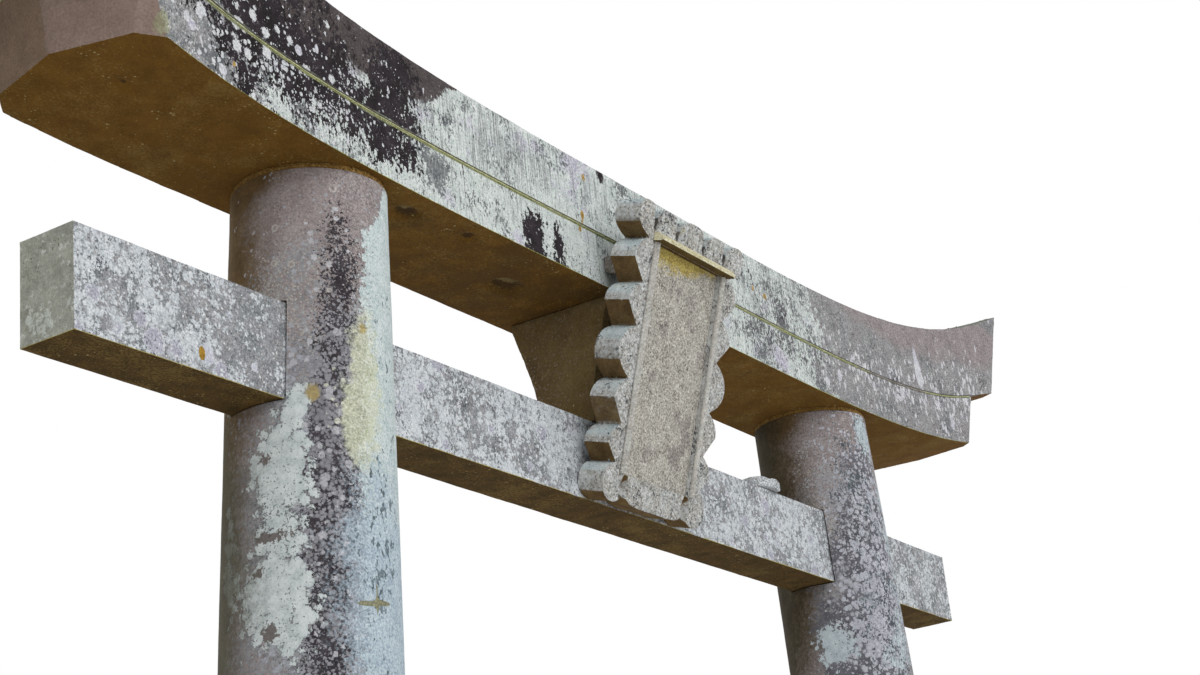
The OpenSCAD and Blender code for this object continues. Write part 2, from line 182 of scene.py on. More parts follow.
class Surface:
    """Shared sockets of one finish's tree: where a point lies and which way it looks."""

    # How far a seed moves a pattern, in its own lumps.
    SEED_SHIFT = (3.7, 1.9, 5.3)
    # The noise that mottles a layer: its finer steps, their strength, and what is spread over 0 to 1.
    TONE = (4.0, 0.74)
    TONE_SPREAD = (0.36, 0.64)

    def __init__(self, tree: bpy.types.NodeTree, unroll: int = 0) -> None:
        """Adds the coordinates and the sides.

        Args:
            tree: the material's node tree.
            unroll: -1 or 1 to read places round the left or the right pillar, 0 for flat work.
        """
        self.tree = tree
        self.unroll = unroll
        self.made: dict[tuple, bpy.types.Node | tuple[bpy.types.Node, ...]] = {}
        coords = add(tree, "ShaderNodeTexCoord")
        self.point = coords.outputs["Object"]
        self.place = self._unrolled() if unroll else self.point
        along, across, upright = add(tree, "ShaderNodeSeparateXYZ", {0: coords.outputs["Normal"]}).outputs
        # Each side's part of the surface's normal, and where that side begins and is full.
        steps = {
            Side.UNDER: (upright, -0.42, -0.64),
            Side.TOP: (upright, 0.2, 0.55),
            Side.END: (add(tree, "ShaderNodeMath", {0: along}, operation="ABSOLUTE"), 0.5, 0.64),
            Side.FACE: (add(tree, "ShaderNodeMath", {0: upright}, operation="ABSOLUTE"), 0.8, 0.55),
            Side.REAR_END: (across, 0.1, 0.3),
        }
        self.sides = {}
        for side, (part, low, high) in steps.items():
            ends = {"Value": part, "From Min": low, "From Max": high}
            self.sides[side] = add(tree, "ShaderNodeMapRange", ends, interpolation_type="SMOOTHSTEP")
        rear = {0: self.sides[Side.END], 1: self.sides[Side.REAR_END]}
        self.sides[Side.REAR_END] = add(tree, "ShaderNodeMath", rear, operation="MULTIPLY")

    def _unrolled(self) -> bpy.types.NodeSocket:
        """Unrolls a leaning pillar's skin, with the way round it counted from the front.

        Returns:
            A vector of (way round in metres, 0, height along the pillar).
        """
        tree = self.tree
        place = {
            "Vector": self.point,
            "Location": (PILLAR_MIDDLE + self.unroll * PILLAR_FOOT, 0, 0),
            "Rotation": (0, -self.unroll * PILLAR_LEAN, 0),
        }
        own = add(tree, "ShaderNodeMapping", place, vector_type="TEXTURE")
        along, across, upright = add(tree, "ShaderNodeSeparateXYZ", {0: own}).outputs
        front = add(tree, "ShaderNodeMath", {0: across, 1: -1.0}, operation="MULTIPLY")
        turn = add(tree, "ShaderNodeMath", {0: along, 1: front}, operation="ARCTAN2")
        way = add(tree, "ShaderNodeMath", {0: turn, 1: PILLAR_RADIUS}, operation="MULTIPLY")
        return add(tree, "ShaderNodeCombineXYZ", {0: way, 2: upright}).outputs[0]

    def _all_round(self, spots: tuple[Spot, ...]) -> tuple[Spot, ...]:
        """Repeats the spots that cross a pillar's back, where its unrolled skin ends.

        Args:
            spots: the spots of a layer.

        Returns:
            The spots, with a twin a full turn away for each one that crosses.
        """
        if not self.unroll:
            return spots
        full = 2 * math.pi * PILLAR_RADIUS
        crossing = (s for s in spots if abs(s.x) + s.half_width > full / 2)
        return (*spots, *(replace(s, x=s.x - math.copysign(full, s.x)) for s in crossing))

    def spots(self, cover: float, spots: tuple[Spot, ...]) -> Value:
        """Sums a layer's general cover and its spots.

        Args:
            cover: the cover everywhere.
            spots: the places that differ.

        Returns:
            The sum, or the cover itself where there are no spots.
        """
        balls = []
        for s in self._all_round(spots):
            scale = (1 / s.half_width, 1 / s.reach, 1 / s.half_height)
            centre = (-s.x * scale[0], -s.y * scale[1], -s.z * scale[2])
            where = {"Vector": self.place, "Location": centre, "Scale": scale}
            local = add(self.tree, "ShaderNodeMapping", where)
            ball = add(self.tree, "ShaderNodeTexGradient", {0: local}, gradient_type="SPHERICAL")
            balls.append((ball.outputs[1], s.gain))
        return self.weigh(cover, *balls)

    def weigh(self, total: Value, *parts: tuple[Value, float]) -> Value:
        """Adds parts to a total, each times its own gain.

        Args:
            total: what they are added to.
            parts: each part and its gain.

        Returns:
            The new total.
        """
        for part, gain in parts:
            total = add(self.tree, "ShaderNodeMath", {0: part, 1: gain, 2: total}, operation="MULTIPLY_ADD")
        return total

    def keep_to(self, side: Side, mask: Value) -> Value:
        """Keeps a mask to one side of the stone.

        Args:
            side: the side.
            mask: where a layer grows.

        Returns:
            The mask, 0 on the other sides.
        """
        if side is Side.ALL:
            return mask
        return add(self.tree, "ShaderNodeMath", {0: mask, 1: self.sides[side]}, operation="MULTIPLY")

    def _local(self, size_mm: float, tall: float, seed: float) -> bpy.types.Node:
        """Coordinates counted in lumps of a size, moved apart by a seed.

        Args:
            size_mm: lump size in millimetres.
            tall: stretch along Z.
            seed: tells patterns of one size apart.

        Returns:
            The node that gives the coordinates.
        """
        scale = 1 / (size_mm * MM)
        shift = tuple(part * seed for part in self.SEED_SHIFT)
        where = {"Vector": self.point, "Location": shift, "Scale": (scale, scale, scale / tall)}
        return add(self.tree, "ShaderNodeMapping", where)

    def noise(
        self, size_mm: float, detail: float, rough: float = 0.6, tall: float = 1.0, seed: float = 0.0
    ) -> bpy.types.Node:
        """A fractal noise whose lumps are about size_mm across and tall times as high.

        Args:
            size_mm: lump size in millimetres.
            detail: number of finer steps.
            rough: how strong the finer steps are.
            tall: stretch along Z, for runs.
            seed: tells patterns of one size apart.

        Returns:
            The noise node, shared by the layers that ask for the same one.
        """
        key = ("noise", size_mm, detail, rough, tall, seed)
        if key not in self.made:
            place = self._local(size_mm, tall, seed)
            values = {"Vector": place, "Scale": 1.0, "Detail": detail, "Roughness": rough}
            self.made[key] = add(self.tree, "ShaderNodeTexNoise", values)
        return self.made[key]

    def cells(self, size_mm: float, tall: float, seed: float) -> tuple[bpy.types.Node, bpy.types.Node]:
        """Rounds about size_mm apart.

        Args:
            size_mm: cell size in millimetres.
            tall: stretch along Z.
            seed: tells patterns of one size apart.

        Returns:
            The distance from the rounds' middles, and three chances for each round.
        """
        key = ("cells", size_mm, tall, seed)
        if key not in self.made:
            values = {"Vector": self._local(size_mm, tall, seed), "Scale": 1.0}
            cells = add(self.tree, "ShaderNodeTexVoronoi", values)
            self.made[key] = (cells, add(self.tree, "ShaderNodeSeparateColor", {0: cells.outputs["Color"]}))
        return self.made[key]

    def tone(self, size_mm: float = 60.0) -> bpy.types.Node:
        """Mottling from a size down to a few millimetres, spread over 0 to 1.

        Args:
            size_mm: size of the largest patches in millimetres.

        Returns:
            The node that gives it, shared like a noise.
        """
        key = ("tone", size_mm)
        if key not in self.made:
            low, high = self.TONE_SPREAD
            ends = {"Value": self.noise(size_mm, *self.TONE), "From Min": low, "From Max": high}
            self.made[key] = add(self.tree, "ShaderNodeMapRange", ends)
        return self.made[key]

    def shade(self, colours: tuple[str, str], tone: Value) -> bpy.types.Node:
        """Goes from one hex colour to another as a tone goes from 0 to 1."""
        parts = {"Factor": tone, "A": linear(colours[0]), "B": linear(colours[1])}
        return add(self.tree, "ShaderNodeMix", parts, data_type="RGBA")


@dataclass(frozen=True)
class Growth:
    """One layer on the stone: a lichen, a biofilm, a stain or a bare place.

    It shows where its level is above 0. The level is the sum of its general cover, its spots,
    broad clusters, fine grit and round lobes, each weighed by its own gain. A rim above 0 keeps
    the second colour for the rounds' rims, that wide in terms of the level.
    """

    colours: tuple[str, str]
    cover: float
    cluster: float = 1.0
    cluster_mm: float = 120.0
    grit: float = 1.0
    grit_mm: float = 8.0
    lobe: float = 0.0
    lobe_mm: float = 24.0
    tall: float = 1.0
    edge: float = 0.04
    rim: float = 0.0
    lift_mm: float = 0.0
    strength: float = 1.0
    seed: float = 0.0
    side: Side = Side.ALL
    spots: tuple[Spot, ...] = ()

    # The finer steps of the clusters and of the grit, and how strong those are.
    CLUSTERS = (2.0, 0.6)
    GRIT = (2.0, 0.75)
    # How much the rounds raise the level, everywhere and by chance, as shares of their gain.
    LOBE_RISE = 0.35
    LOBE_CHANCE = 0.4
    # Each round darkens toward its edge, between these distances from its middle, by this share.
    BRIM = (0.3, 0.75)
    BRIM_SHARE = 0.6

    def paint(self, on: Surface) -> tuple[Value, bpy.types.Node]:
        """Adds the layer's nodes.

        Args:
            on: the finish's shared sockets.

        Returns:
            The layer's mask and its colour.
        """
        tree = on.tree
        tone = on.tone()
        parts = []
        if self.cluster:
            parts.append((on.noise(self.cluster_mm, *self.CLUSTERS, 1.0, self.seed), self.cluster))
        if self.grit:
            parts.append((on.noise(self.grit_mm, *self.GRIT, self.tall, self.seed + 0.5), self.grit))
        if self.lobe:
            cells, chance = on.cells(self.lobe_mm, self.tall, self.seed)
            parts += [(cells, -self.lobe), (chance.outputs[0], self.LOBE_CHANCE * self.lobe)]
            brim = {"Value": cells, "From Min": self.BRIM[0], "From Max": self.BRIM[1]}
            brim = {"Factor": self.BRIM_SHARE, "A": tone, "B": add(tree, "ShaderNodeMapRange", brim)}
            tone = add(tree, "ShaderNodeMix", brim, data_type="RGBA")
        # The patterns' own averages are taken off, so cover alone says how much shows.
        start = self.cover - 0.5 * (self.cluster + self.grit) + self.LOBE_RISE * self.lobe
        level = on.weigh(on.spots(start, self.spots), *parts)
        if self.rim:
            tone = add(tree, "ShaderNodeMapRange", {"Value": level, "From Min": self.rim, "From Max": 0.0})
        ends = {"Value": level, "From Min": -self.edge, "From Max": self.edge}
        mask = on.keep_to(self.side, add(tree, "ShaderNodeMapRange", ends, interpolation_type="SMOOTHSTEP"))
        if self.strength < 1:
            mask = add(tree, "ShaderNodeMath", {0: mask, 1: self.strength}, operation="MULTIPLY")
        return mask, on.shade(self.colours, tone)


@dataclass(frozen=True)
class Seam:
    """A ragged line of growth that follows one of the gate's curves, broken up in places."""

    colours: tuple[str, str]
    line: Curve
    half_width_mm: float
    cover: float
    edge_mm: float
    side: Side = Side.ALL
    spots: tuple[Spot, ...] = ()

    # It lies flat on the stone.
    lift_mm = 0.0
    # The noises that make it ragged and break it up: lump size, finer steps and their strength.
    RAGGED = (16.0, 3.0, 0.7)
    BROKEN = (120.0, 2.0, 0.6)
    # The values of the cover and the second noise between which the line comes up.
    KEPT = (0.42, 0.58)

    def paint(self, on: Surface) -> tuple[Value, bpy.types.Node]:
        """Adds the seam's nodes.

        Args:
            on: the finish's shared sockets.

        Returns:
            The seam's mask and its colour.
        """
        tree = on.tree
        middle, rise, power = self.line
        off, _, upright = add(tree, "ShaderNodeSeparateXYZ", {0: on.point}).outputs
        # How far a point is off the curve, worked out from its place along it.
        for operation, *values in (
            ("MULTIPLY", 1 / SWEEP_REF), ("ABSOLUTE",), ("POWER", power), ("MULTIPLY_ADD", rise, middle),
            ("SUBTRACT", upright), ("ABSOLUTE",),
        ):
            off = add(tree, "ShaderNodeMath", dict(enumerate((off, *values))), operation=operation)
        # Ragged along its length, by up to its own half width.
        width = 2 * self.half_width_mm * MM
        edge = self.edge_mm * MM
        off = on.weigh(off, (on.noise(*self.RAGGED), width))
        kept = on.weigh(on.spots(self.cover, self.spots), (on.noise(*self.BROKEN), 1.0))
        masks = []
        for value, low, high in ((off, width + edge, width - edge), (kept, *self.KEPT)):
            ends = {"Value": value, "From Min": low, "From Max": high}
            masks.append(add(tree, "ShaderNodeMapRange", ends, interpolation_type="SMOOTHSTEP"))
        mask = add(tree, "ShaderNodeMath", dict(enumerate(masks)), operation="MULTIPLY")
        return on.keep_to(self.side, mask), on.shade(self.colours, on.tone())


@dataclass(frozen=True)
class StoneFinish:
    """Weathered granite: matt, with crystals of 2 to 5 mm, under its layers of growth.

    stone holds the two tones of the bare surface and grain those of its dark and pale crystals.
    contrast says how strongly the whole surface, growth and all, is mottled down to single grains.
    """

    name: str
    slot: str
    stone: tuple[str, str]
    grain: tuple[str, str] = ("#4b4548", "#bdb6b2")
    layers: tuple[Growth | Seam, ...] = ()
    tone_mm: float = 60.0
    crystal_mm: float = 4.0
    grain_strength: float = 0.4
    pit_mm: float = 1.0
    contrast: float = 1.0
    unroll: int = 0

    # A crystal whose chance lies between these is dark or pale, the more the higher it is.
    ODD = (0.75, 1.0)
    CRYSTAL_SEED = 9.0
    # The pits' noise: lump size, finer steps and their strength.
    PITS = (7.0, 4.0, 0.75)
    # The grains and mottles over everything: their noise, with its stretch and seed, and its gain.
    GRAINS = ((5.0, 1.0, 0.6, 1.0, 2.0), 1.5)
    MOTTLES = ((38.0, 3.0, 0.7, 1.0, 4.0), 0.5)
    # How much fainter those are on the smooth undersides and ends.
    CALM = 0.6
    ROUGHNESS = 0.95
    SPECULAR = 0.2

    def build(self) -> bpy.types.Material:
        """Makes the material.

        Returns:
            The finished material.
        """
        material = bpy.data.materials.new(self.name)
        material.use_nodes = True
        tree = material.node_tree
        tree.nodes.clear()
        on = Surface(tree, self.unroll)
        coats = []
        # Crystals of the granite, drawn at 4 mm because smaller ones fall below a pixel.
        for chance, code in zip(on.cells(self.crystal_mm, 1.0, self.CRYSTAL_SEED)[1].outputs, self.grain):
            odd = {"Value": chance, "From Min": self.ODD[0], "From Max": self.ODD[1]}
            odd = {0: add(tree, "ShaderNodeMapRange", odd), 1: self.grain_strength}
            coats.append((add(tree, "ShaderNodeMath", odd, operation="MULTIPLY"), linear(code)))
        relief = [(on.noise(*self.PITS), self.pit_mm)]
        for layer in self.layers:
            coats.append(layer.paint(on))
            if layer.lift_mm:
                relief.append((coats[-1][0], layer.lift_mm))
        colour = on.shade(self.stone, on.tone(self.tone_mm))
        for mask, shade in coats:
            colour = add(tree, "ShaderNodeMix", {"Factor": mask, "A": colour, "B": shade}, data_type="RGBA")
        # Light and dark grains over everything, on mid grey so that they only spread the tones.
        grains = [(on.noise(*noise), gain * self.contrast) for noise, gain in (self.GRAINS, self.MOTTLES)]
        grey = on.weigh(0.5 - 0.5 * sum(gain for _, gain in grains), *grains)
        calm = {0: on.sides[Side.UNDER], 1: on.sides[Side.END]}
        calm = add(tree, "ShaderNodeMath", calm, operation="MAXIMUM")
        parts = {"Factor": on.weigh(1.0, (calm, -self.CALM)), "A": colour, "B": grey}
        colour = add(tree, "ShaderNodeMix", parts, data_type="RGBA", blend_type="OVERLAY")
        bump = {"Strength": 1.0, "Distance": MM, "Height": on.weigh(0.0, *relief)}
        bump = add(tree, "ShaderNodeBump", bump)
        look = {"Base Color": colour, "Roughness": self.ROUGHNESS, "Specular IOR Level": self.SPECULAR}
        stone = add(tree, "ShaderNodeBsdfPrincipled", look | {"Normal": bump})
        add(tree, "ShaderNodeOutputMaterial", {0: stone})
        return material


def on_side(side: Side, *layers: Growth | Seam) -> tuple[Growth | Seam, ...]:
    """Keeps layers to one side of the stone."""
    return tuple(replace(layer, side=side) for layer in layers)


def sheltered(skin: tuple[str, str]) -> tuple[Growth, ...]:
    """Layers of an underside that no rain reaches: brown skin with tan lichens along the beam,
    its warm brown partly painted light bounced up from the ground.

    Args:
        skin: the skin's two tones, warmed by painted bounce light.

    Returns:
        The layers. They keep off the narrow step at the joint between the lintels.
    """
    step = (Spot(0.0, 3.5, 2.6, 0.13, -6.0),)
    dark = (*step, Spot(-0.5, 3.27, 0.9, 0.4, 0.6))
    return on_side(
        Side.UNDER,
        Growth(skin, 1.0, 0.5, 160.0, 0.0, edge=0.2, spots=step),
        Growth(("#8f7a48", "#7f6836"), -0.22, 1.5, 130.0, 2.4, 6.0, tall=0.6, edge=0.15, strength=0.5, seed=6,
               spots=step),
        Growth(("#46331b", "#4f3b20"), -0.45, 1.6, 110.0, 1.6, 9.0, edge=0.2, strength=0.55, seed=7,
               spots=dark),
        Growth(("#b4a374", "#94814f"), -0.75, 1.4, 90.0, 0.8, 5.0, 1.2, 10.0, strength=0.75, seed=8,
               spots=step),
    )


# What grows on the lintels' faces, from the first layer up.
LINTEL_FACES = on_side(
    Side.FACE,
    Growth(("#a9aaab", "#87898b"), 0.0, 0.8, 70.0, 1.8, 7.0),
    # The mint crust.
    Growth(("#d4dcd9", "#c0c8c6"), 0.0, 1.3, 170.0, 1.2, 8.0, 0.5, 26.0, seed=1, spots=(
        Spot(-0.62, 3.45, 0.95, 0.7, 1.0), Spot(-0.6, 3.32, 0.8, 0.14, 1.1),
        Spot(0.42, 3.42, 0.7, 0.45, 1.0), Spot(-1.42, 3.33, 0.42, 0.13, 1.5),
        Spot(1.95, 3.5, 1.15, 0.9, -1.5), Spot(-2.05, 3.35, 0.5, 0.45, -1.2),
        Spot(-1.55, 3.66, 0.6, 0.24, -1.4))),
    Growth(("#c9c6d6", "#b5b2c2"), -0.34, 1.8, 90.0, 0.7, 9.0, edge=0.14, strength=0.85, seed=3, spots=(
        Spot(-0.414, 3.545, 0.2, 0.13, 0.4), Spot(-0.68, 3.57, 0.16, 0.07, 0.35),
        Spot(0.626, 3.328, 0.16, 0.09, 0.5), Spot(0.8, 3.6, 1.2, 0.1, -0.4),
        Spot(1.8, 3.5, 0.9, 0.4, -0.5))),
    # Grey, darker and lighter, standing upright.
    Growth(("#63666a", "#7f8384"), -0.34, 2.4, 95.0, 2.6, 7.0, tall=1.7, edge=0.08, seed=2, spots=(
        Spot(-1.07, 3.364, 0.1, 0.12, 0.45), Spot(-0.973, 3.345, 0.1, 0.09, 0.35),
        Spot(-1.15, 3.5, 0.12, 0.14, 0.35), Spot(-1.9, 3.35, 0.4, 0.3, 0.3),
        Spot(0.75, 3.42, 0.5, 0.3, 0.25))),
    Growth(("#7d8183", "#9ba0a0"), -0.34, 0.8, 150.0, 3.0, 6.0, tall=26.0, edge=0.12, strength=0.8, seed=4,
           spots=(
               Spot(-0.68, 3.52, 0.62, 0.14, 0.38), Spot(0.5, 3.54, 0.5, 0.12, 0.3),
               Spot(1.5, 3.6, 1.0, 0.2, 0.1))),
    # Smooth dark film along the top on the left.
    Growth(("#443e3e", "#554e4e"), -1.5, 1.1, 150.0, 1.2, 10.0, edge=0.12, seed=5, spots=(
        Spot(-1.75, 3.72, 0.5, 0.3, 3.0), Spot(-1.4, 3.66, 0.5, 0.28, 3.2),
        Spot(-1.16, 3.62, 0.3, 0.14, 2.8), Spot(-0.76, 3.63, 0.4, 0.035, 2.1),
        Spot(-0.284, 3.6, 0.05, 0.06, 2.2), Spot(0.75, 3.63, 0.3, 0.05, 2.1))),
    # Black growth.
    Growth(("#1d191c", "#342d32"), -0.95, 2.0, 75.0, 2.8, 11.0, tall=1.5, seed=6, spots=(
        Spot(-1.6, 3.48, 0.6, 0.28, 1.7), Spot(-1.42, 3.37, 0.34, 0.14, 0.45),
        Spot(-1.78, 3.32, 0.2, 0.1, 0.35), Spot(-1.19, 3.54, 0.14, 0.16, 1.1),
        Spot(-1.22, 3.37, 0.2, 0.15, 0.85), Spot(-0.63, 3.31, 0.09, 0.13, 2.0),
        Spot(-0.52, 3.32, 0.05, 0.13, 1.6), Spot(-0.284, 3.6, 0.06, 0.06, 1.2),
        Spot(-1.0, 3.45, 0.5, 0.3, 0.2), Spot(0.6, 3.36, 0.45, 0.14, 0.55),
        Spot(0.5, 3.55, 0.3, 0.14, 0.4))),
    # White rounds on the black, large and small.
    Growth(("#cfd2d4", "#b3b1bd"), -1.45, 1.0, 120.0, 0.9, 7.0, 2.0, 44.0, edge=0.05, seed=7, spots=(
        Spot(-1.75, 3.42, 0.7, 0.3, 1.0), Spot(-1.95, 3.36, 0.3, 0.2, 0.15))),
    Growth(("#cdd1d3", "#a9a8b4"), -1.2, 1.5, 80.0, 0.9, 5.0, 1.8, 15.0, edge=0.04, seed=8, spots=(
        Spot(-1.65, 3.38, 0.85, 0.26, 0.75),)),
    Growth(("#d0d3d6", "#b1b0bb"), -0.9, 1.6, 70.0, 0.8, 4.0, 1.2, 7.0, edge=0.05, seed=14, spots=(
        Spot(-1.7, 3.36, 0.8, 0.26, 0.45), Spot(1.7, 3.42, 0.8, 0.25, 0.4))),
    # The smooth purple-grey top on the right, then small white rounds and dark specks.
    Growth(("#8a8182", "#9a9192"), -1.1, 0.8, 200.0, 1.0, 9.0, edge=0.3, strength=0.9, seed=8, spots=(
        Spot(1.55, 3.69, 0.95, 0.22, 2.4), Spot(2.2, 3.76, 0.4, 0.2, 1.2))),
    Growth(("#d3d4d8", "#b5b4bf"), -0.72, 1.2, 110.0, 1.4, 6.0, 1.1, 18.0, 1.8, edge=0.04, seed=9, spots=(
        Spot(1.5, 3.4, 0.95, 0.17, 0.7), Spot(2.05, 3.5, 0.35, 0.25, 0.45))),
    Growth(("#4c4a4e", "#67656a"), -0.62, 1.4, 80.0, 3.0, 6.0, tall=2.0, seed=10, spots=(
        Spot(0.7, 3.42, 0.45, 0.3, 0.58), Spot(1.7, 3.42, 0.8, 0.25, 0.35),
        Spot(-1.2, 3.45, 0.4, 0.3, 0.2))),
    # Single large rounds and drips.
    Growth(("#d2d5d8", "#b9b7c4"), -1.6, 0.3, 120.0, 0.6, 9.0, edge=0.05, spots=(
        Spot(-1.93, 3.379, 0.034, 0.034, 2.6), Spot(-1.831, 3.316, 0.034, 0.034, 2.6),
        Spot(-1.568, 3.469, 0.034, 0.034, 2.6), Spot(-1.5, 3.5, 0.016, 0.03, 2.6),
        Spot(1.68, 3.553, 0.04, 0.13, 2.3), Spot(1.7, 3.48, 0.05, 0.09, 2.1),
        Spot(1.099, 3.359, 0.044, 0.06, 2.4), Spot(1.004, 3.316, 0.044, 0.044, 2.4),
        Spot(1.907, 3.361, 0.036, 0.056, 2.4), Spot(1.83, 3.335, 0.03, 0.036, 2.2),
        Spot(2.16, 3.7, 0.015, 0.06, 2.2))),
    # Ochre rounds.
    Growth(("#b08f4c", "#9c7f45"), -1.6, 0.2, 60.0, 0.8, 8.0, edge=0.15, spots=(
        Spot(-0.399, 3.446, 0.022, 0.034, 2.6), Spot(-0.406, 3.407, 0.018, 0.028, 2.6),
        Spot(-0.374, 3.563, 0.04, 0.05, 2.0), Spot(0.388, 3.41, 0.04, 0.05, 2.6),
        Spot(0.626, 3.498, 0.04, 0.04, 2.1), Spot(0.552, 3.504, 0.018, 0.03, 2.4),
        Spot(-1.79, 3.345, 0.03, 0.03, 2.0))),
    Seam(("#c9d2bb", "#b4bf9e"), JOINT, 4.0, 0.02, 4.0, spots=(Spot(1.7, 3.5, 0.9, 0.4, -0.5),)),
)

# Dressed granite in full rain: matt and pale, with mint and lilac crusts in the middle, black growth
# with white rounds on the left, a smooth purple-grey top on the right and brown undersides,
# their warm brown partly painted light bounced up from the ground.
LINTEL = StoneFinish(
    "lichened granite of the lintels",
    "lintel_stone",
    ("#7b777a", "#9a989b"),
    contrast=0.6,
    layers=(
        *LINTEL_FACES,
        Seam(("#b0b265", "#939657"), UNDERSIDE, 2.4, 0.25, 1.2, spots=(Spot(1.5, 3.3, 0.8, 0.3, -0.1),)),
        *sheltered(("#785620", "#684918")),
        # Old dents: dark round their rims, partly their own colour and partly painted shade of the hollows,
        # with tan lichen inside.
        Growth(("#3a2b18", "#473620"), -1.6, 0.4, 60.0, 1.0, 10.0, edge=0.25, strength=0.85, side=Side.UNDER,
               spots=(
                   Spot(-0.499, 3.268, 0.12, 0.3, 2.6, 0.0, 0.08),
                   Spot(-1.061, 3.27, 0.09, 0.3, 2.5, -0.102, 0.06),
                   Spot(-0.836, 3.268, 0.05, 0.3, 2.4, -0.122, 0.04),
                   Spot(-1.94, 3.303, 0.06, 0.3, 1.9, -0.045, 0.035))),
        Growth(("#94835a", "#7d6c45"), -1.6, 0.4, 40.0, 2.2, 7.0, edge=0.15, strength=0.85, side=Side.UNDER,
               spots=(
                   Spot(-0.51, 3.268, 0.09, 0.3, 2.6, -0.012, 0.055),
                   Spot(-1.07, 3.27, 0.05, 0.3, 2.2, -0.11, 0.035))),
        # The raked ends: smooth, purple-brown in front and browner behind the ridge.
        Growth(("#8f7c72", "#86736a"), 1.2, 0.8, 150.0, 0.6, 10.0, edge=0.25, strength=0.97, side=Side.END),
        Growth(("#816c50", "#705a3f"), 0.6, 1.2, 150.0, 0.6, 10.0, edge=0.5, strength=0.8, seed=1,
               side=Side.REAR_END),
        Growth(("#a9ac92", "#8b8a6e"), -1.6, 1.2, 40.0, 1.6, 8.0, edge=0.15, strength=0.8, side=Side.FACE,
               spots=(
                   Spot(-2.02, 3.345, 0.04, 0.07, 2.6),)),
        Growth(("#8f938c", "#6e716a"), 0.4, 1.4, 90.0, 1.6, 8.0, 0.6, 26.0, edge=0.1, seed=11,
               side=Side.TOP),
        Growth(("#55584c", "#666a58"), -0.2, 1.6, 70.0, 2.0, 8.0, edge=0.1, seed=12, side=Side.TOP),
    ),
)

# What grows on the tie beam's faces.
BEAM_FACES = on_side(
    Side.FACE,
    Growth(("#73787b", "#8b8f93"), -0.12, 1.8, 80.0, 2.2, 8.0, tall=1.3, seed=1),
    Growth(("#cfd5da", "#adb3b8"), 0.0, 1.5, 120.0, 1.6, 7.0, 0.7, 16.0, edge=0.06, seed=2, spots=(
        Spot(-1.6, 2.83, 0.22, 0.3, -0.35), Spot(1.4, 2.82, 0.14, 0.3, -0.2),
        Spot(-0.3, 2.8, 0.5, 0.3, 0.15))),
    Growth(("#aaabb7", "#ced2da"), -0.5, 0.8, 200.0, 0.5, 8.0, 1.2, 70.0, edge=0.05, rim=0.1, seed=3, spots=(
        Spot(-1.95, 2.8, 0.35, 0.3, 0.25),)),
    Growth(("#d8dbdf", "#bfc3c8"), -0.45, 0.8, 60.0, 0.8, 5.0, 1.2, 12.0, seed=4),
    Growth(("#55595d", "#70747a"), -0.42, 1.6, 60.0, 2.6, 6.0, tall=1.5, seed=5),
)

# Dressed granite: matt, evenly mottled in cool greys by small crusts, and brown underneath, its warm
# brown partly painted light bounced up from the ground.
BEAM = StoneFinish(
    "lichened granite of the tie beam",
    "beam_stone",
    ("#85868a", "#a3a5a9"),
    contrast=0.6,
    layers=(
        *BEAM_FACES,
        Growth(("#a8b096", "#98a087"), -1.0, 0.6, 80.0, 1.0, 8.0, edge=0.3, strength=0.6, spots=(
            Spot(-2.15, 2.84, 0.06, 0.3, 1.9),)),
        Growth(("#ccced8", "#bdbfca"), -1.6, 0.2, 60.0, 0.4, 8.0, edge=0.05, spots=(
            Spot(-1.742, 2.742, 0.045, 0.055, 2.6), Spot(-1.6, 2.75, 0.03, 0.03, 2.4))),
        Growth(("#b08a34", "#9d7c31"), -1.6, 0.2, 60.0, 0.4, 8.0, edge=0.05, spots=(
            Spot(-1.76, 2.742, 0.024, 0.04, 2.6),)),
        Growth(("#b0b2a5", "#909185"), 0.7, 1.0, 60.0, 1.4, 8.0, edge=0.2, seed=6, strength=0.9,
               side=Side.END),
        Growth(("#c9cfc8", "#aeb4ad"), -0.35, 1.2, 70.0, 1.4, 8.0, 0.6, 18.0, seed=7, side=Side.END, spots=(
            Spot(-2.13, 2.76, 0.3, 0.06, 0.3),)),
        Growth(("#6c6e64", "#7b7d70"), -0.5, 1.4, 50.0, 2.4, 7.0, seed=8, side=Side.END),
        Seam(("#b3a95c", "#9c8a45"), TIE_BEAM_EDGE, 1.8, 0.12, 1.2),
        *sheltered(("#5f4823", "#46371a")),
        Growth(("#9b9f98", "#757870"), 0.4, 1.4, 90.0, 1.6, 8.0, 0.6, 26.0, edge=0.1, seed=11,
               side=Side.TOP),
    ),
)


